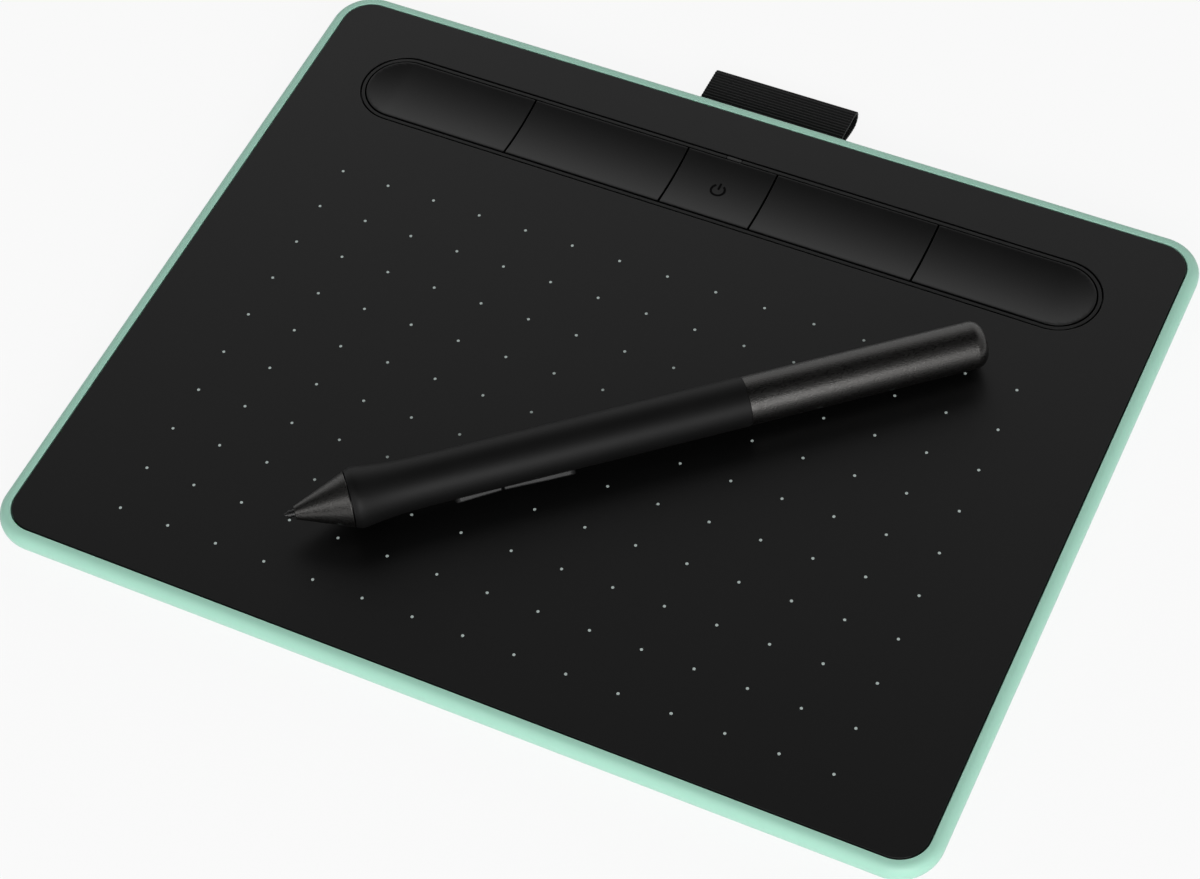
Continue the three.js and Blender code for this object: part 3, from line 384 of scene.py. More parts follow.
class Shader:
    """The nodes of one material or world."""

    def __init__(self, owner, output="OutputMaterial"):
        owner.use_nodes = True
        self.owner, self.tree = owner, owner.node_tree
        self.tree.nodes.clear()
        self.output = output

    def node(self, kind, settings=None, values=None, out=0):
        """Adds a node, its settings first, and gives back one of its outputs."""
        made = self.tree.nodes.new("ShaderNode" + kind)
        for key, value in (settings or {}).items():
            if key == "stops":
                ramp = made.color_ramp.elements
                for _ in value[2:]:
                    ramp.new(0.5)
                for stop, (position, colour) in zip(ramp, value):
                    stop.position, stop.color = position, colour
            else:
                setattr(made, key, value)
        for key, value in (values or {}).items():
            if isinstance(value, Wire):
                self.tree.links.new(value.socket, made.inputs[key])
            else:
                made.inputs[key].default_value = value
        return Wire(self, made.outputs[out] if len(made.outputs) else None)

    def ends(self, surface):
        self.node(self.output, values={"Surface": surface})
        return self.owner

    def noise(self, scale, detail=3.0, where=None, roughness=0.5):
        """Noise from 0 to 1, with scale in waves to the metre."""
        where = where or self.node("TexCoord", out="Object")
        return self.node("TexNoise", {}, {
            "Vector": where, "Scale": scale, "Detail": detail, "Roughness": roughness})

    def stretched(self, factors, turn=(0, 0, 0)):
        """Object coordinates turned and stretched by factors."""
        return self.node("Mapping", {"vector_type": "TEXTURE"}, {
            "Vector": self.node("TexCoord", out="Object"),
            "Rotation": turn, "Scale": factors})

    def blended(self, factor, low, high):
        """A colour between two, by a factor."""
        return self.node("Mix", {"data_type": "RGBA"}, {0: factor, 6: low, 7: high}, out=2)

    def levels(self, value, low, high):
        """Stretches a value's range between low and high to run from 0 to 1."""
        return self.node("MapRange", {"clamp": True}, {0: value, 1: low, 2: high, 3: 0.0, 4: 1.0})

    def bump(self, height, distance, strength=1.0):
        return self.node("Bump", {}, {
            "Height": height, "Distance": distance, "Strength": strength})

    def plastic(self, values):
        return self.ends(self.node("BsdfPrincipled", {}, values))


def grey(value, warm=0.0):
    return (value * (1 + warm), value, value * (1 - warm), 1.0)


def new_finish(name):
    return Shader(bpy.data.materials.new(name))


def green_plastic():
    """Pastel green, fine satin, with faint flow and handling marks."""
    s = new_finish("pastel_green_satin")
    cloud = s.noise(28, 4)
    grain = s.noise(5200, 2)
    scuff = s.levels(s.noise(160, 6, roughness=0.65), 0.52, 0.74)
    return s.plastic({
        "Base Color": s.blended(cloud, (0.44, 0.79, 0.635, 1), (0.47, 0.83, 0.67, 1)),
        "Roughness": 0.36 + 0.08 * cloud + 0.08 * scuff,
        "Specular IOR Level": 0.5,
        "Subsurface Weight": 0.08,
        "Subsurface Radius": (0.002, 0.003, 0.0025),
        "Subsurface Scale": 0.4,
        "Normal": s.bump(grain, 0.00002, 0.35),
    })


def textured_black():
    """Black sheet with the fine tooth that gives the pen its paper feel."""
    s = new_finish("black_toothed_sheet")
    tooth = s.noise(4200, 3, roughness=0.6)
    wipe = s.noise(14, 5, roughness=0.55)
    speck = s.levels(s.noise(2600, 1), 0.62, 0.80)
    return s.plastic({
        "Base Color": s.blended(speck, grey(0.0006, -0.02), grey(0.0028, -0.03)),
        "Roughness": 0.34 + 0.05 * wipe + 0.04 * speck,
        "Specular IOR Level": 0.46,
        "Normal": s.bump(tooth, 0.00003, 0.30),
    })


def key_black():
    """Black keys, a little smoother than the sheet."""
    s = new_finish("black_key_satin")
    tooth = s.noise(6200, 2)
    touch = s.noise(60, 4, roughness=0.6)
    return s.plastic({
        "Base Color": s.blended(touch, grey(0.0006), grey(0.0014)),
        "Roughness": 0.31 + 0.06 * touch,
        "Specular IOR Level": 0.44,
        "Normal": s.bump(tooth, 0.00002, 0.25),
    })


def window_grey():
    s = new_finish("smoked_window")
    haze = s.noise(900, 2)
    return s.plastic({
        "Base Color": s.blended(haze, grey(0.018), grey(0.03)),
        "Roughness": 0.26 + 0.1 * haze,
    })


def printed_pale():
    """Pale printing ink, a little broken by the sheet's tooth."""
    s = new_finish("printed_pale")
    broken = s.noise(5200, 2)
    return s.plastic({
        "Base Color": s.blended(broken, (0.47, 0.54, 0.52, 1), (0.61, 0.70, 0.67, 1)),
        "Roughness": 0.55 + 0.1 * broken,
    })


def printed_black():
    """Matt black printing ink."""
    s = new_finish("printed_black")
    broken = s.noise(5200, 2)
    return s.plastic({
        "Base Color": s.blended(broken, grey(0.0005), grey(0.002)),
        "Roughness": 0.85 + 0.1 * broken,
        "Specular IOR Level": 0.1,
    })


def ribbon_black():
    """Woven black tape: fine warp yarns over the ribs, with a soft sheen."""
    s = new_finish("grosgrain_black")
    yarn = s.node("TexWave", {"wave_type": "BANDS", "bands_direction": "X"}, {
        "Vector": s.node("TexCoord", out="Object"), "Scale": 1100.0, "Distortion": 1.2,
        "Detail": 2.0, "Detail Scale": 2.0})
    fuzz = s.noise(9000, 3, roughness=0.7)
    fade = s.noise(120, 3)
    return s.plastic({
        "Base Color": s.blended(fuzz * 0.6 + fade * 0.4, grey(0.002), grey(0.014)),
        "Roughness": 0.82 + 0.12 * fade,
        "Specular IOR Level": 0.25,
        "Sheen Weight": 0.12,
        "Sheen Roughness": 0.45,
        "Normal": s.bump(yarn * 0.7 + fuzz * 0.3, 0.00005, 0.55),
    })


def rubber_grey():
    s = new_finish("foot_rubber")
    dust = s.noise(700, 4, roughness=0.7)
    return s.plastic({
        "Base Color": s.blended(dust, grey(0.022), grey(0.05)),
        "Roughness": 0.78 + 0.14 * dust,
        "Specular IOR Level": 0.3,
        "Normal": s.bump(s.noise(3000, 3), 0.00004, 0.4),
    })


def soft_touch():
    """The grip's rubbery coat."""
    s = new_finish("soft_touch_black")
    coat = s.noise(5200, 2)
    handled = s.noise(90, 5, roughness=0.6)
    return s.plastic({
        "Base Color": s.blended(handled, grey(0.0036), grey(0.0054)),
        "Roughness": 0.44 + 0.08 * handled,
        "Specular IOR Level": 0.19,
        "Normal": s.bump(coat, 0.00002, 0.3),
    })


def satin_black():
    """Brushed satin of the nose cone and the rear barrel, its grain along the pen."""
    s = new_finish("pen_satin_black")
    turn = PEN_PLACE.to_euler("XYZ")
    along = s.stretched((14.0, 1.0, 1.0), tuple(turn))
    streak = s.noise(5200, 4, where=along, roughness=0.65)
    wear = s.noise(240, 5, roughness=0.6)
    grain = s.noise(4200, 2, where=s.stretched((2.5, 1.0, 1.0), tuple(turn)))
    sparkle = s.levels(grain, 0.4, 0.65)
    return s.plastic({
        "Base Color": s.blended(sparkle, grey(0.0006, 0.04), grey(0.0025, 0.06)),
        "Roughness": 0.21 + 0.09 * streak + 0.10 * sparkle + 0.04 * wear,
        "Specular IOR Level": 0.78,
        "Specular Tint": (1.0, 0.975, 0.95, 1.0),
        "Normal": s.bump(streak * 0.4 + sparkle * 0.6, 0.00003, 0.5),
    })


def pen_key_black():
    s = new_finish("pen_switch_black")
    touch = s.noise(300, 4, roughness=0.6)
    return s.plastic({
        "Base Color": s.blended(touch, grey(0.008), grey(0.013)),
        "Roughness": 0.40 + 0.08 * touch,
        "Specular IOR Level": 0.34,
        "Normal": s.bump(s.noise(6000, 2), 0.00002, 0.25),
    })


def nib_black():
    s = new_finish("nib_plastic")
    rub = s.noise(1800, 4, roughness=0.65)
    return s.plastic({
        "Base Color": s.blended(rub, grey(0.001), grey(0.004)),
        "Roughness": 0.30 + 0.16 * rub,
        "Normal": s.bump(rub, 0.00002, 0.4),
    })


def inner_black():
    s = new_finish("moulded_black")
    flow = s.noise(80, 4)
    return s.plastic({
        "Base Color": s.blended(flow, grey(0.012), grey(0.02)),
        "Roughness": 0.45 + 0.1 * flow,
        "Normal": s.bump(s.noise(3800, 2), 0.00002, 0.3),
    })


def board_green():
    """Circuit board with traces under its green mask."""
    s = new_finish("board_green")
    cells = s.node("TexVoronoi", {"feature": "DISTANCE_TO_EDGE", "distance": "MANHATTAN"}, {
        "Vector": s.node("TexCoord", out="Object"), "Scale": 420.0})
    trace = s.levels(cells, 0.10, 0.16)
    return s.plastic({
        "Base Color": s.blended(trace, (0.035, 0.16, 0.075, 1), (0.012, 0.085, 0.04, 1)),
        "Roughness": 0.34 + 0.12 * s.noise(300, 3),
        "Normal": s.bump(1 - trace, 0.00003, 0.6),
    })


def steel():
    s = new_finish("rolled_steel")
    streak = s.noise(900, 4, where=s.stretched((1.0, 18.0, 1.0)), roughness=0.6)
    return s.plastic({
        "Base Color": s.blended(streak, grey(0.42, 0.01), grey(0.60, 0.01)),
        "Metallic": 1.0,
        "Roughness": 0.26 + 0.18 * streak,
        "Normal": s.bump(streak, 0.00002, 0.25),
    })


def foil():
    s = new_finish("pouch_foil")
    crinkle = s.noise(90, 6, roughness=0.6)
    return s.plastic({
        "Base Color": s.blended(crinkle, grey(0.40), grey(0.55)),
        "Metallic": 0.8,
        "Roughness": 0.30 + 0.15 * crinkle,
        "Normal": s.bump(crinkle, 0.0004, 0.5),
    })


def cable_white():
    s = new_finish("cable_white")
    stain = s.noise(260, 4)
    return s.plastic({
        "Base Color": s.blended(stain, (0.62, 0.60, 0.54, 1), (0.72, 0.70, 0.65, 1)),
        "Roughness": 0.45 + 0.12 * stain,
        "Normal": s.bump(s.noise(2600, 2), 0.00002, 0.3),
    })


def ferrite_grey():
    s = new_finish("sintered_ferrite")
    sinter = s.noise(3200, 5, roughness=0.7)
    return s.plastic({
        "Base Color": s.blended(sinter, grey(0.03), grey(0.06)),
        "Roughness": 0.55 + 0.2 * sinter,
        "Normal": s.bump(sinter, 0.00005, 0.5),
    })


def copper_winding():
    s = new_finish("enamelled_copper")
    turn = PEN_PLACE.to_euler("XYZ")
    wires = s.node("TexWave", {"wave_type": "BANDS", "bands_direction": "X"}, {
        "Vector": s.stretched((1, 1, 1), tuple(turn)), "Scale": 1300.0})
    return s.plastic({
        "Base Color": s.blended(wires, (0.35, 0.12, 0.04, 1), (0.72, 0.33, 0.14, 1)),
        "Metallic": 0.9,
        "Roughness": 0.32 + 0.1 * s.noise(900, 3),
        "Normal": s.bump(wires, 0.00005, 0.7),
    })


# ------------------------------------------------------------------------------------------
# Pen frame: stations run along X from the nib's tip, and the side switches face +Z
# ------------------------------------------------------------------------------------------


def joint_axis(name):
    axis = next(j["axis"] for j in frame["joints"] if j["name"] == name)
    return Vector(axis).normalized()


def pen_place():
    along = joint_axis("rear_barrel_pull")
    out = -joint_axis("pen_switch_front_press")
    side = out.cross(along).normalized()
    out = along.cross(side)
    turn = Matrix((along, side, out)).transposed().to_4x4()
    return Matrix.Translation(PEN_TIP) @ turn


PEN_PLACE = pen_place()

FINISHES = {
    "shell_green": green_plastic(),
    "cover_black": textured_black(),
    "key_black": key_black(),
    "lens": window_grey(),
    "ribbon": ribbon_black(),
    "foot_rubber": rubber_grey(),
    "board": board_green(),
    "steel": steel(),
    "inner_black": inner_black(),
    "battery_foil": foil(),
    "cable_white": cable_white(),
    "pen_soft_touch": soft_touch(),
    "pen_satin": satin_black(),
    "pen_key": pen_key_black(),
    "nib_plastic": nib_black(),
    "ferrite": ferrite_grey(),
    "copper": copper_winding(),
}


def finish_nodes():
    """Gives every node of the frame the finish that its slot names."""
    for node in frame["nodes"].values():
        for held in node.material_slots:
            held.material = FINISHES[held.material.name]


# ------------------------------------------------------------------------------------------
# Camera, light, floor
# ------------------------------------------------------------------------------------------


def add_camera():
    data = bpy.data.cameras.new("camera")
    camera = bpy.data.objects.new("camera", data)
    bpy.context.scene.collection.objects.link(camera)
    camera.location = Vector(CAMERA_SPOT) * MM
    camera.rotation_euler = [math.radians(a) for a in CAMERA_TURN]
    data.sensor_width = 36.0
    data.lens = CAMERA_LENS
    data.shift_x, data.shift_y = CAMERA_SHIFT
    data.clip_start, data.clip_end = 0.01, 20
    bpy.context.scene.camera = camera


def softbox(name, azimuth, elevation, size, power):
    """A soft lamp that looks at the tablet. Azimuth 0 is the front and 90 the right."""
    data = bpy.data.lights.new(name, "AREA")
    data.shape = "RECTANGLE"
    data.size, data.size_y = size
    data.energy = power
    lamp = bpy.data.objects.new(name, data)
    bpy.context.scene.collection.objects.link(lamp)
    a, e = math.radians(azimuth), math.radians(elevation)
    back = Vector((math.sin(a) * math.cos(e), -math.cos(a) * math.cos(e), math.sin(e)))
    lamp.location = back * LAMP_DISTANCE
    lamp.rotation_euler = back.to_track_quat("Z", "Y").to_euler()


def add_light():
    softbox("key_box", 34, 21, (1.2, 1.0), 16)
    softbox("front_box", -8, 36, (0.8, 0.6), 3.0)


def rays(shader, *kinds):
    """1 for rays of these kinds, and 0 for others."""
    first, *more = (shader.node("LightPath", out=f"Is {kind} Ray") for kind in kinds)
    return sum(more, first)


def add_world():
    world = bpy.data.worlds.new("studio")
    bpy.context.scene.world = world
    s = Shader(world, "OutputWorld")
    right, back, up = (s.node("SeparateXYZ", {}, {0: s.node("TexCoord", out="Generated")}, out=i)
                       for i in range(3))
    studio = s.node("ValToRGB", {"stops": [(height, grey(level)) for height, level in (
        (0.0, 0.5), (0.2, 0.75), (0.35, 1.0), (0.58, 0.87),
        (0.70, 0.55), (0.80, 0.26), (0.90, 0.06), (1.0, 0.0))]}, {0: up})
    studio = s.blended(s.levels(right, 0.4, 0.95), studio, grey(0.35))
    studio = s.blended(s.levels(back, -0.15, -0.7), studio, grey(0.25))
    studio = s.blended(s.levels(up - right, 1.15, 1.38), studio, grey(0.08))
    s.ends(s.node("MixShader", {}, {
        0: rays(s, "Camera", "Transmission"),
        1: s.node("Background", {}, {"Color": studio, "Strength": 1.04}),
        2: s.node("Background", {}, {"Color": grey(1.0), "Strength": 1.0})}))


def add_floor():
    bpy.ops.mesh.primitive_plane_add(size=FLOOR_SIZE, location=(0, 0, -FLOOR_DROP))
    floor = named("floor")
    only(floor)
    floor.matrix_world = Matrix.Scale(MM, 4)
    bpy.ops.object.transform_apply(location=True, rotation=True, scale=True)
    s = Shader(bpy.data.materials.new("pale_floor"))
    pale = s.node("BsdfDiffuse", {}, {"Color": grey(0.86)})
    bright = s.node("MixShader", {}, {0: 0.9, 1: pale, 2: s.node("Emission", {}, {
        "Color": grey(1.0), "Strength": 1.0})})
    floor.data.materials.append(s.ends(s.node("MixShader", {}, {
        0: rays(s, "Camera", "Glossy", "Transmission"), 1: pale, 2: bright})))


# ------------------------------------------------------------------------------------------
# Case
# ------------------------------------------------------------------------------------------


def step_in(reach, depth):
    """Insets the selected face and moves it along its normal."""
    bpy.ops.mesh.inset(thickness=max(reach, 0.0), depth=depth)


def round_in(reach, rise, steps):
    """Insets the selected face along a quarter of an ellipse."""
    for i in range(steps):
        a, b = ((j / steps) * math.pi / 2 for j in (i, i + 1))
        step_in(reach * (math.cos(a) - math.cos(b)), rise * (math.sin(b) - math.sin(a)))


def base_shell():
    """The green tray: one skin swept from the flat underside round the rim to its lip."""
    widest = [half + RIM_REACH for half in COVER_HALF]
    shell = slab("shell_green", widest, CORNER + RIM_REACH, WIDEST, steps=20)
    with shaping(shell):
        pick("faces", facing((0, 0, -1)))
        round_in(UNDER_SWEEP, WIDEST[0] - SHELL_UNDER, 14)
        pick("faces", lambda f: f.normal.z > 0.99 and f.calc_area() > 1000)
        round_in(RIM_REACH - LIP_OUTER, COVER_TOP - WIDEST[1], 10)
        step_in(LIP_OUTER - LIP_INNER - LIP_CHAMFER, 0)
        step_in(LIP_CHAMFER, -LIP_CHAMFER)
        step_in(0, -(COVER_TOP - LIP_CHAMFER - LEDGE_TOP))
        step_in(LEDGE_REACH + SEAM - LIP_INNER, 0)
        for reach, drop in INSIDE_STEPS:
            step_in(reach, -drop)
    pads = [post("pad", 3.2, (2.0, 3.2), spot) for spot in CASE_SCREWS]
    shelf = along_x("shelf", [(-19, 21), (67.0, 71.2), (2.0, 3.08)])
    fuse(shell, *pads, shelf)
    feet = [stadium("recess", (FOOT_HALF[0] + SEAM, FOOT_HALF[1] + SEAM), (-0.5, 1.3), spot, 12)
            for spot in foot_spots()]
    heads = [post("head", 2.05, (0.5, 2.4), spot) for spot in CASE_SCREWS]
    shanks = [post("shank", 1.15, (0.5, 4.0), spot) for spot in CASE_SCREWS]
    ribbon = along_x("ribbon_slot", [(-15.65, 17.65), (LOOP_TAIL_Y, 75), (3.1, 4.95)])
    inlet = along_x("inlet", [INLET_X, (TRAY_Y - INLET_HALF, TRAY_Y + INLET_HALF),
                              INLET_HEIGHTS], 0.9)
    cut(shell, *feet, *heads, *shanks, ribbon, inlet)
    tidy(shell)
    settle(shell, "tablet", FINISHES["shell_green"], ["base_shell"])


def foot_spots():
    return [(x - math.copysign(FOOT_SHIFT, x), y) for x, y in CASE_SCREWS]


def top_cover():
    """The black working sheet, with its bosses and the rounded opening for the key bar."""
    cover = slab("cover_black", COVER_HALF, CORNER, (COVER_UNDER, COVER_TOP), steps=20)
    cut(cover, stadium("opening", TRAY_HALF, (6, 10), (0, TRAY_Y)))
    soften(cover, 0.1)
    fuse(cover, *[post("boss", 2.6, (3.3, 7.3), spot) for spot in CASE_SCREWS],
         *[post("boss", 1.9, (4.3, 7.3), spot) for spot in BOARD_SCREWS])
    cut(cover, *[post("pilot", 1.07, (3.0, 6.9), spot) for spot in CASE_SCREWS],
        *[post("pilot", 0.87, (3.0, 5.8), spot) for spot in BOARD_SCREWS])
    tidy(cover)
    settle(cover, "tablet", FINISHES["cover_black"], ["top_cover"])


def printed_dots():
    """The printed grid: one thin round dot, copied over the working area."""
    bpy.ops.mesh.primitive_cylinder_add(
        vertices=16, radius=DOT_RADIUS, depth=0.024, location=(0, 0, COVER_TOP + 0.006))
    dot = named("printed_dots")
    with shaping(dot):
        pick("faces", facing((0, 0, 1)))
        bpy.ops.mesh.bevel(offset=0.01, segments=1, affect="EDGES")
    pitch_x, pitch_y = DOT_PITCH
    columns, rows = DOT_COUNT
    modify(dot, "ARRAY", count=columns, use_relative_offset=False, use_constant_offset=True,
           constant_offset_displace=(pitch_x, 0, 0))
    modify(dot, "ARRAY", count=rows, use_relative_offset=False, use_constant_offset=True,
           constant_offset_displace=(0, pitch_y, 0))
    start = Matrix.Translation((DOT_MIDDLE[0] - pitch_x * (columns - 1) / 2,
                                DOT_MIDDLE[1] - pitch_y * (rows - 1) / 2, 0))
    settle(dot, "tablet", printed_pale(), place=start)


def rubber_feet():
    names = {(x, y): f"foot_{'front' if y < 0 else 'rear'}_{'left' if x < 0 else 'right'}"
             for x, y in CASE_SCREWS}
    for screw, spot in zip(CASE_SCREWS, foot_spots()):
        foot = stadium("rubber_" + names[screw], FOOT_HALF, (0.3, 1.2), spot, 12)
        with shaping(foot):
            pick("faces", facing((0, 0, -1)))
            round_in(0.3, 0.3, 4)
            step_in(0.7, 0)
            step_in(0.2, -0.15)
        settle(foot, "tablet", FINISHES["foot_rubber"], [names[screw]])


def usb_socket():
    """The micro socket: a folded steel shell round its tongue of contacts."""
    low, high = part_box("usb_socket")
    low, high = low / MM, high / MM
    shell = along_x("socket_shell", [(low.x, high.x), (low.y, high.y), (low.z, high.z)], 0.75)
    cut(shell, along_x("mouth", [(low.x - 1, high.x - 1), (low.y + 0.3, high.y - 0.3),
                                 (low.z + 0.3, high.z - 0.3)], 0.5))
    soften(shell, 0.06, 2)
    tongue = along_x("tongue", [(low.x + 1, high.x - 0.5),
                                (TRAY_Y - TONGUE_HALF, TRAY_Y + TONGUE_HALF), TONGUE_HEIGHTS])
    soften(tongue, 0.1, 2)
    contacts = [along_x("contact", [(low.x + 1.15, high.x - 1.4),
                                    (y - CONTACT_HALF, y + CONTACT_HALF), CONTACT_HEIGHTS])
                for y in (TRAY_Y + CONTACT_PITCH * i for i in (-2, -1, 0, 1, 2))]
    only(contacts[0], *contacts[1:])
    bpy.ops.object.join()
    settle(shell, "tablet", FINISHES["steel"], ["usb_socket"])
    settle(tongue, "tablet", FINISHES["inner_black"])
    pads = settle(contacts[0], "tablet", FINISHES["steel"])
    pads.name = pads.data.name = "socket_contacts"


# ------------------------------------------------------------------------------------------
# Key bar
# ------------------------------------------------------------------------------------------


def key_bezel():
    ring = stadium("bezel_ring", BEZEL_OUTER, (BEZEL_UNDER, BEZEL_TOP), (0, TRAY_Y))
    flange = stadium("flange", [half + FLANGE_REACH for half in BEZEL_OUTER],
                     (BEZEL_UNDER, FLANGE_TOP), (0, TRAY_Y))
    fuse(ring, flange)
    cut(ring, stadium("opening", BEZEL_INNER, (5, 10), (0, TRAY_Y)),
        slab("notch", (1.8, 0.9), 0, (5, 10), (0, 58.65)))
    soften(ring, 0.08)
    tidy(ring)
    settle(ring, "tablet", FINISHES["key_black"], ["key_bezel"])


def indicator_window():
    window = slab("indicator_window", (1.7, 0.35), 0.33, (5.2, BEZEL_TOP), (0, WINDOW_Y), 6)
    soften(window, 0.06, 2)
    settle(window, "tablet", FINISHES["lens"], ["light_pipe"])


def dish_tool():
    """The long capsule that hollows the keys' tops."""
    half = KEY_HALF[1] - KEY_LIP
    radius = (half ** 2 + KEY_DISH ** 2) / (2 * KEY_DISH)
    bpy.ops.mesh.primitive_uv_sphere_add(
        segments=360, ring_count=180, radius=radius, rotation=(0, math.pi / 2, 0),
        location=(0, TRAY_Y, COVER_TOP - KEY_DISH + radius))
    tool = named("dish")
    with shaping(tool):
        bpy.ops.mesh.select_all(action="SELECT")
        bpy.ops.mesh.bisect(plane_co=(0, 0, COVER_TOP + 1), plane_no=(0, 0, 1),
                            use_fill=True, clear_outer=True)
        pick("verts", lambda v: v.co.x > -1e-3)
        bpy.ops.transform.translate(value=(KEY_STRAIGHT, 0, 0))
        pick("verts", lambda v: v.co.x < KEY_STRAIGHT - 2e-3)
        bpy.ops.transform.translate(value=(-KEY_STRAIGHT, 0, 0))
    return tool


def key_tabs(low, high):
    """The four hooks under a key that catch beneath the bezel."""
    for x in (low + 4, high - 4):
        for side in (-1, 1):
            leg = TRAY_Y + side * (KEY_HALF[1] - 0.6)
            hook = TRAY_Y + side * (KEY_HALF[1] - 0.2)
            yield slab("leg", (2, 0.6), 0, (6.1, KEY_UNDER + 0.2), (x, leg))
            yield slab("hook", (2, 1.0), 0, (5.7, 6.2), (x, hook))


def key_bar():
    """One long dished bar, parted into the five keys."""
    bar = stadium("bar", KEY_HALF, (KEY_UNDER, COVER_TOP), (0, TRAY_Y), 32)
    cut(bar, dish_tool())
    tidy(bar)
    for name, (low, high) in KEY_EDGES.items():
        key = copied(bar, "cap_" + name)
        with shaping(key):
            for place, sense in ((low, -1), (high, 1)):
                if abs(place) < KEY_HALF[0]:
                    bpy.ops.mesh.select_all(action="SELECT")
                    bpy.ops.mesh.bisect(plane_co=(place, 0, 0), plane_no=(sense, 0, 0),
                                        use_fill=True, clear_outer=True)
        ends = max(low, -KEY_STRAIGHT), min(high, KEY_STRAIGHT)
        stem = post("stem", 1.3, (5.45, KEY_UNDER + 0.2), (sum(ends) / 2, TRAY_Y))
        fuse(key, stem, *key_tabs(*ends))
        soften(key, 0.09, 3, 40)
        settle(key, name, FINISHES["key_black"], [name])
    bpy.data.objects.remove(bar)


def power_mark():
    """The power sign: an open ring with a bar in its gap."""
    level = COVER_TOP - KEY_DISH
    bpy.ops.mesh.primitive_circle_add(
        vertices=72, radius=MARK_RADIUS, fill_type="NGON",
        location=(0, TRAY_Y + MARK_SHIFT, level - 0.06))
    mark = named("power_mark")
    with shaping(mark):
        bpy.ops.mesh.select_all(action="SELECT")
        bpy.ops.mesh.inset(thickness=MARK_LINE)
        bpy.ops.mesh.delete(type="FACE")
        pick("faces", lambda f: abs(math.atan2(
            f.calc_center_median().x, f.calc_center_median().y - TRAY_Y - MARK_SHIFT)) < MARK_GAP)
        bpy.ops.mesh.delete(type="FACE")
        bpy.ops.mesh.select_all(action="SELECT")
        bpy.ops.mesh.extrude_region_move(TRANSFORM_OT_translate={"value": (0, 0, 0.13)})
    bar = slab("bar", MARK_BAR, 0.2, (level - 0.06, level + 0.07),
               (0, TRAY_Y + MARK_BAR_SHIFT), 6)
    only(mark, bar)
    bpy.ops.object.join()
    tidy(mark, outward=True)
    settle(mark, "power_key", printed_black())


# ------------------------------------------------------------------------------------------
# Pen loop
# ------------------------------------------------------------------------------------------


def curve_points(a, b, c, d, steps):
    """Points on a cubic curve after its first."""
    for i in range(1, steps + 1):
        t = i / steps
        u = 1 - t
        yield (a * u ** 3 + b * (3 * u * u * t) + c * (3 * u * t * t) + d * t ** 3)


def loop_route():
    """The ribbon's middle line in Y and Z, from one tail round the fold to the other."""
    low, high = LOOP_LAYERS
    fold_y, fold_z = LOOP_FOLD
    r = LOOP_RADIUS
    span = fold_y - LOOP_CROTCH_Y
    route = [Vector((LOOP_TAIL_Y, low)), Vector((LOOP_CROTCH_Y, low))]
    route += curve_points(
        route[-1], Vector((LOOP_CROTCH_Y + 0.35 * span, low - 0.35 * (low - fold_z + r))),
        Vector((LOOP_CROTCH_Y + 0.7 * span, fold_z - r)), Vector((fold_y, fold_z - r)), 20)
    for i in range(1, 20):
        turn = -math.pi / 2 + math.pi * i / 20
        route.append(Vector((fold_y + r * math.cos(turn), fold_z + r * math.sin(turn))))
    route.append(Vector((fold_y, fold_z + r)))
    route += curve_points(
        route[-1], Vector((LOOP_CROTCH_Y + 0.7 * span, fold_z + r + 0.1)),
        Vector((LOOP_CROTCH_Y + 0.4 * span, high)), Vector((LOOP_CROTCH_Y, high)), 20)
    route.append(Vector((LOOP_TAIL_Y, high)))
    return route


def evenly(route, spacing):
    """The route walked in even steps, each with its distance and its normal."""
    lengths = [0.0]
    for a, b in zip(route, route[1:]):
        lengths.append(lengths[-1] + (b - a).length)
    total, walked, k = lengths[-1], [], 0
    count = round(total / spacing)
    for i in range(count + 1):
        s = total * i / count
        while k < len(route) - 2 and lengths[k + 1] < s:
            k += 1
        a, b = route[k], route[k + 1]
        t = (s - lengths[k]) / (lengths[k + 1] - lengths[k])
        way = (b - a).normalized()
        walked.append((s, a.lerp(b, t), Vector((way.y, -way.x))))
    return walked, total


def pen_loop():
    """The black tape loop that holds the pen: a folded sheet with ribs across it."""
    walked, total = evenly(loop_route(), RIB_PITCH / 8)
    outline = []
    for sense, side in ((1, walked), (-1, walked[::-1])):
        for s, (y, z), out in side:
            rib = abs(math.sin(math.pi * s / RIB_PITCH))
            rise = sense * (LOOP_THICK / 2 + RIB_DEPTH * (rib - 0.8))
            outline.append(Vector((0, y + out.x * rise, z + out.y * rise)))
    ribbon = traced("pen_loop_ribbon", outline)
    with shaping(ribbon):
        pick("verts", lambda v: len(v.link_edges) == 1)
        bpy.ops.mesh.edge_face_add()
        bpy.ops.mesh.select_all(action="SELECT")
        bpy.ops.mesh.edge_face_add()
        bpy.ops.transform.translate(value=(LOOP_MIDDLE - LOOP_WIDTH / 2, 0, 0))
        for _ in range(LOOP_STEPS):
            bpy.ops.mesh.extrude_region_move(
                TRANSFORM_OT_translate={"value": (LOOP_WIDTH / LOOP_STEPS, 0, 0)})
    tidy(ribbon, outward=True)
    settle(ribbon, "tablet", FINISHES["ribbon"], ["pen_loop"], smooth=60)
    total * MM


# ------------------------------------------------------------------------------------------
# Pen
# ------------------------------------------------------------------------------------------


def turned(name, profile, steps=96, closed=True):
    """A piece turned about the X axis from [station, radius] corners."""
    piece = traced(name, [Vector((station, 0, radius)) for station, radius in profile])
    with shaping(piece):
        if closed:
            pick("verts", lambda v: len(v.link_edges) == 1)
            bpy.ops.mesh.edge_face_add()
        bpy.ops.mesh.select_all(action="SELECT")
        bpy.ops.mesh.spin(steps=steps, angle=2 * math.pi, center=(0, 0, 0), axis=(1, 0, 0))
    tidy(piece, outward=True)
    return piece


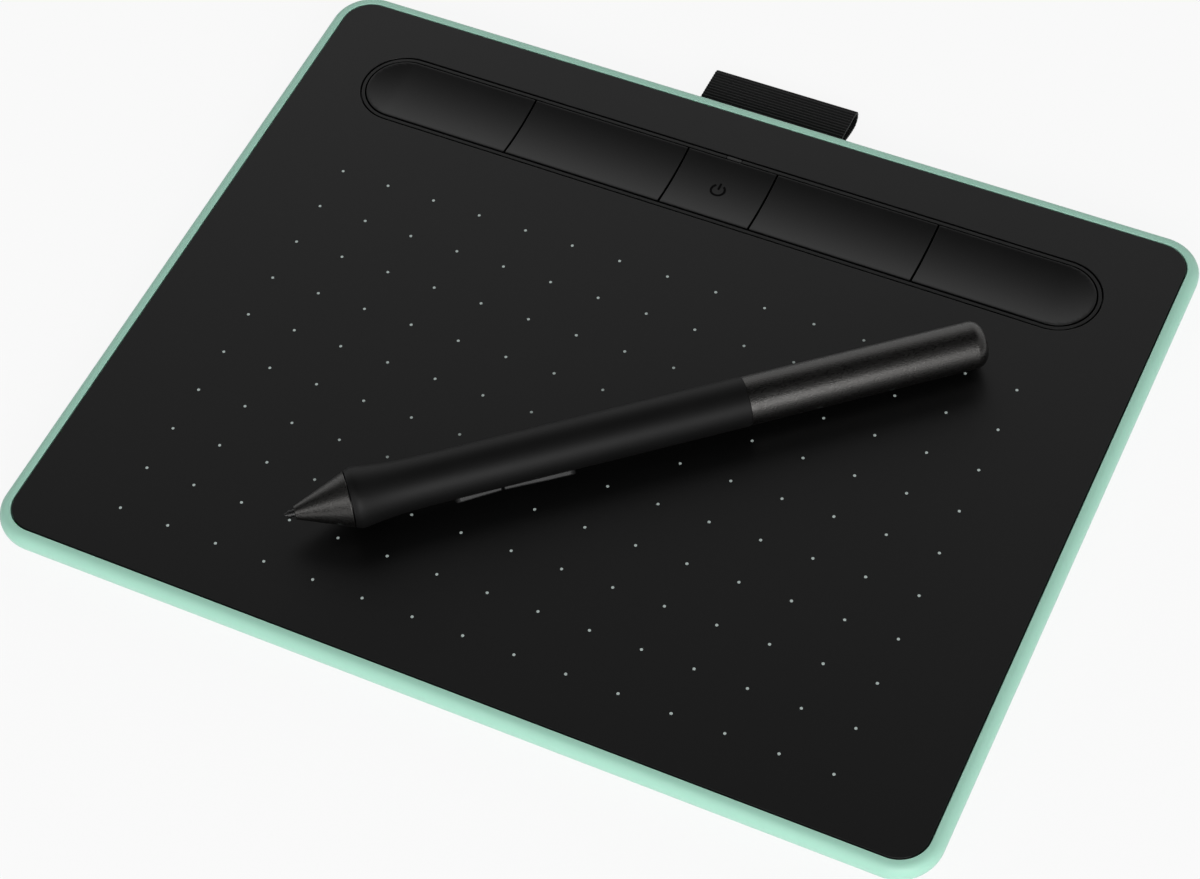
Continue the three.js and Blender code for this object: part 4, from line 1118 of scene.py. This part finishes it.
def arc(middle, radius, start, end, steps):
    """Corners on a quarter of a circle, in [station, radius]; angles from the axis."""
    for i in range(steps + 1):
        a = math.radians(start + (end - start) * i / steps)
        yield (middle[0] + radius * math.cos(a), middle[1] + radius * math.sin(a))


def grip_radius(station):
    length, power = FLARE_FADE
    past = max(0.0, station - FLARE_AT)
    return WAIST + (FLARE - WAIST) * math.exp(-((past / length) ** power))


def pen_grip():
    fade = [FLARE_AT + 0.4 * i + 0.035 * i * i for i in range(1, 19)]
    profile = [(GRIP_START, GRIP_BORE), (GRIP_START, 5.56),
               *arc((GRIP_START + 0.16, 5.56), 0.16, 180, 90, 4),
               (13.75, 5.90), (14.15, 6.03), (14.5, 6.10), (FLARE_AT, FLARE),
               *[(s, grip_radius(s)) for s in fade], (50, WAIST), (70, WAIST),
               *arc((GRIP_END - 0.06, WAIST - 0.06), 0.06, 90, 0, 3), (GRIP_END, GRIP_BORE)]
    grip = turned("grip_soft_touch", profile, 128)
    window = slab("window", [half + SWITCH_GAP for half in SWITCH_HALF],
                  SWITCH_CORNER + SWITCH_GAP, (1, 7.2), (SWITCH_MIDDLE, 0), 8)
    cut(grip, window)
    soften(grip, 0.1, 2, 60)
    tidy(grip)
    settle(grip, "pen", FINISHES["pen_soft_touch"], ["pen_grip"], PEN_PLACE)


def side_switches():
    """Two crowned bars in one window, parted by a slit."""
    for name, (start, end) in SWITCH_SPANS.items():
        whole = slab("switch_" + name, SWITCH_HALF, SWITCH_CORNER, (4.45, 7),
                     (SWITCH_MIDDLE, 0), 8)
        combine(whole, [turned("crown", SWITCH_CROWN, 256)], "INTERSECT")
        keep = slab("keep", ((end - start) / 2, 4), 0, (4, 8), ((start + end) / 2, 0))
        combine(whole, [keep], "INTERSECT")
        tidy(whole)
        soften(whole, 0.28, 4, 40)
        body = "pen_switch_" + name
        settle(whole, body, FINISHES["pen_key"], [body], PEN_PLACE)


def nose_cone():
    profile = [(CONE_START, CONE_MOUTH), (CONE_START, 1.2),
               *arc((CONE_START + 0.18, 1.2), 0.18, 180, 112, 3),
               (12.85, 5.52), *arc((12.9, 5.46), 0.15, 112, 0, 4),
               (13.05, 4.1), (16.65, 4.1), (16.65, 3.45), (13.05, 3.45), (5.15, CONE_MOUTH)]
    cone = turned("nose_cone", profile, 128)
    settle(cone, "pen", FINISHES["pen_satin"], ["pen_nose_cone"], PEN_PLACE)


def nib(name, body, node, start=0.0, spot=(0, 0)):
    """A nib: a round tip, a shoulder and a plain stem."""
    profile = [(0, 0), *arc((0.42, 0), 0.42, 168, 100, 5), (0.7, 0.44), (0.78, 0.64),
               (0.95, 0.66), (1.02, 0.78), (1.35, NIB_RADIUS), (1.42, 0.68), (1.7, 0.68),
               (1.78, NIB_RADIUS), (NIB_LENGTH, NIB_RADIUS), (NIB_LENGTH, 0)]
    piece = turned(name, [(s + start, r) for s, r in profile], 40, closed=False)
    settle(piece, body, FINISHES["nib_plastic"], [node],
           PEN_PLACE @ Matrix.Translation((0, *spot)))


def rear_barrel():
    flat = BARREL_RADIUS - BARREL_ROUND
    profile = [(138.9, 0), (138.9, 4.15), (99.1, 4.15), (99.1, 4.5), (BARREL_START, 4.5),
               (BARREL_START, 4.88), *arc((BARREL_START + 0.06, 4.88), 0.06, 180, 90, 3),
               (100, 4.94), (118, 4.90), (130, 4.87),
               *arc((PEN_LENGTH - BARREL_DOME - BARREL_ROUND, flat), BARREL_ROUND, 90, 0, 12)]
    profile += [(PEN_LENGTH - BARREL_DOME * t * t, flat * t) for t in (0.8, 0.55, 0.3)]
    profile += [(PEN_LENGTH, 0)]
    barrel = turned("rear_barrel_satin", profile, 128, closed=False)
    settle(barrel, "rear_barrel", FINISHES["pen_satin"], ["pen_rear_barrel"],
           PEN_PLACE)


def thread(start, end, foot, crest):
    """Corners of rings of thread between two stations."""
    count = int((end - start) / THREAD_PITCH)
    for i in range(count):
        s = start + i * THREAD_PITCH
        yield from ((s, foot), (s + 0.35 * THREAD_PITCH, crest), (s + 0.6 * THREAD_PITCH, crest))
    yield (start + count * THREAD_PITCH, foot)


def thread_ring():
    (start, end), (foot, outer) = RING_SPAN, RING_RADII
    profile = [(start, outer), (end, outer), (end, foot),
               *reversed(list(thread(94.8, 98.8, foot, 3.9))), (start, foot)]
    ring = turned("thread_ring", profile, 96)
    settle(ring, "rear_barrel", FINISHES["steel"], ["pen_thread_ring"], PEN_PLACE)


def chassis():
    """The pen's trough, and behind it the sleeve and the threaded spigot."""
    (start, end), (inner, outer) = TROUGH, TROUGH_RADII
    trough = turned("pen_chassis",
                    [(start, inner), (start, outer), (end, outer), (end, inner)], 96)
    cut(trough, slab("open_side", (40, 6), 0, (-0.1, 6), (50, 0)))
    profile = [(86.8, SPIGOT_BORE), (86.8, outer), (93.7, outer), (93.7, SPIGOT_FOOT),
               *thread(94.6, 99.4, SPIGOT_FOOT, SPIGOT_CREST), (99.85, SPIGOT_FOOT),
               (100, 3.6), (100, SPIGOT_BORE)]
    fuse(trough, turned("sleeve", profile, 96))
    tidy(trough)
    settle(trough, "pen", FINISHES["inner_black"], ["pen_core"], PEN_PLACE)


def nib_holder():
    """The carrier of the three spare nibs, plugged into the spigot."""
    radius, end = HOLDER_RADIUS, HOLDER_END
    profile = [(93.9, 0), (93.9, 2.5), (100.1, 2.5), (100.1, 3.35),
               *arc((100.25, 3.35), 0.15, 180, 90, 3), (104, radius), (104.3, 3.3),
               (105.3, 3.3), (105.6, radius), *arc((end - 0.4, radius - 0.4), 0.4, 90, 0, 5),
               (end, 0)]
    holder = turned("spare_nib_holder", profile, 96, closed=False)
    spots = [(SPARE_CIRCLE * math.cos(a), SPARE_CIRCLE * math.sin(a))
             for a in (2 * math.pi * i / 3 for i in range(3))]
    for y, z in spots:
        hole = turned("hole", [(104.4, 0), (104.4, SPARE_HOLE), (127, SPARE_HOLE), (127, 0)],
                      32, closed=False)
        with shaping(hole):
            bpy.ops.mesh.select_all(action="SELECT")
            bpy.ops.transform.translate(value=(0, y, z))
        cut(holder, hole)
    tidy(holder)
    settle(holder, "pen", FINISHES["inner_black"], ["pen_nib_holder"],
           PEN_PLACE)
    for i, spot in enumerate(spots, 1):
        nib(f"spare_tip_{i}", "pen", f"spare_nib_{i}", SPARE_START, spot)


# ------------------------------------------------------------------------------------------

bpy.context.scene.view_settings.view_transform = "Standard"
bpy.ops.object.select_all(action="DESELECT")
finish_nodes()
add_camera()
add_light()
add_world()
add_floor()
base_shell()
top_cover()
printed_dots()
rubber_feet()
usb_socket()
key_bezel()
indicator_window()
key_bar()
power_mark()
pen_loop()
pen_grip()
side_switches()
nose_cone()
nib("nib_tip", "nib", "pen_nib")
rear_barrel()
thread_ring()
chassis()
nib_holder()
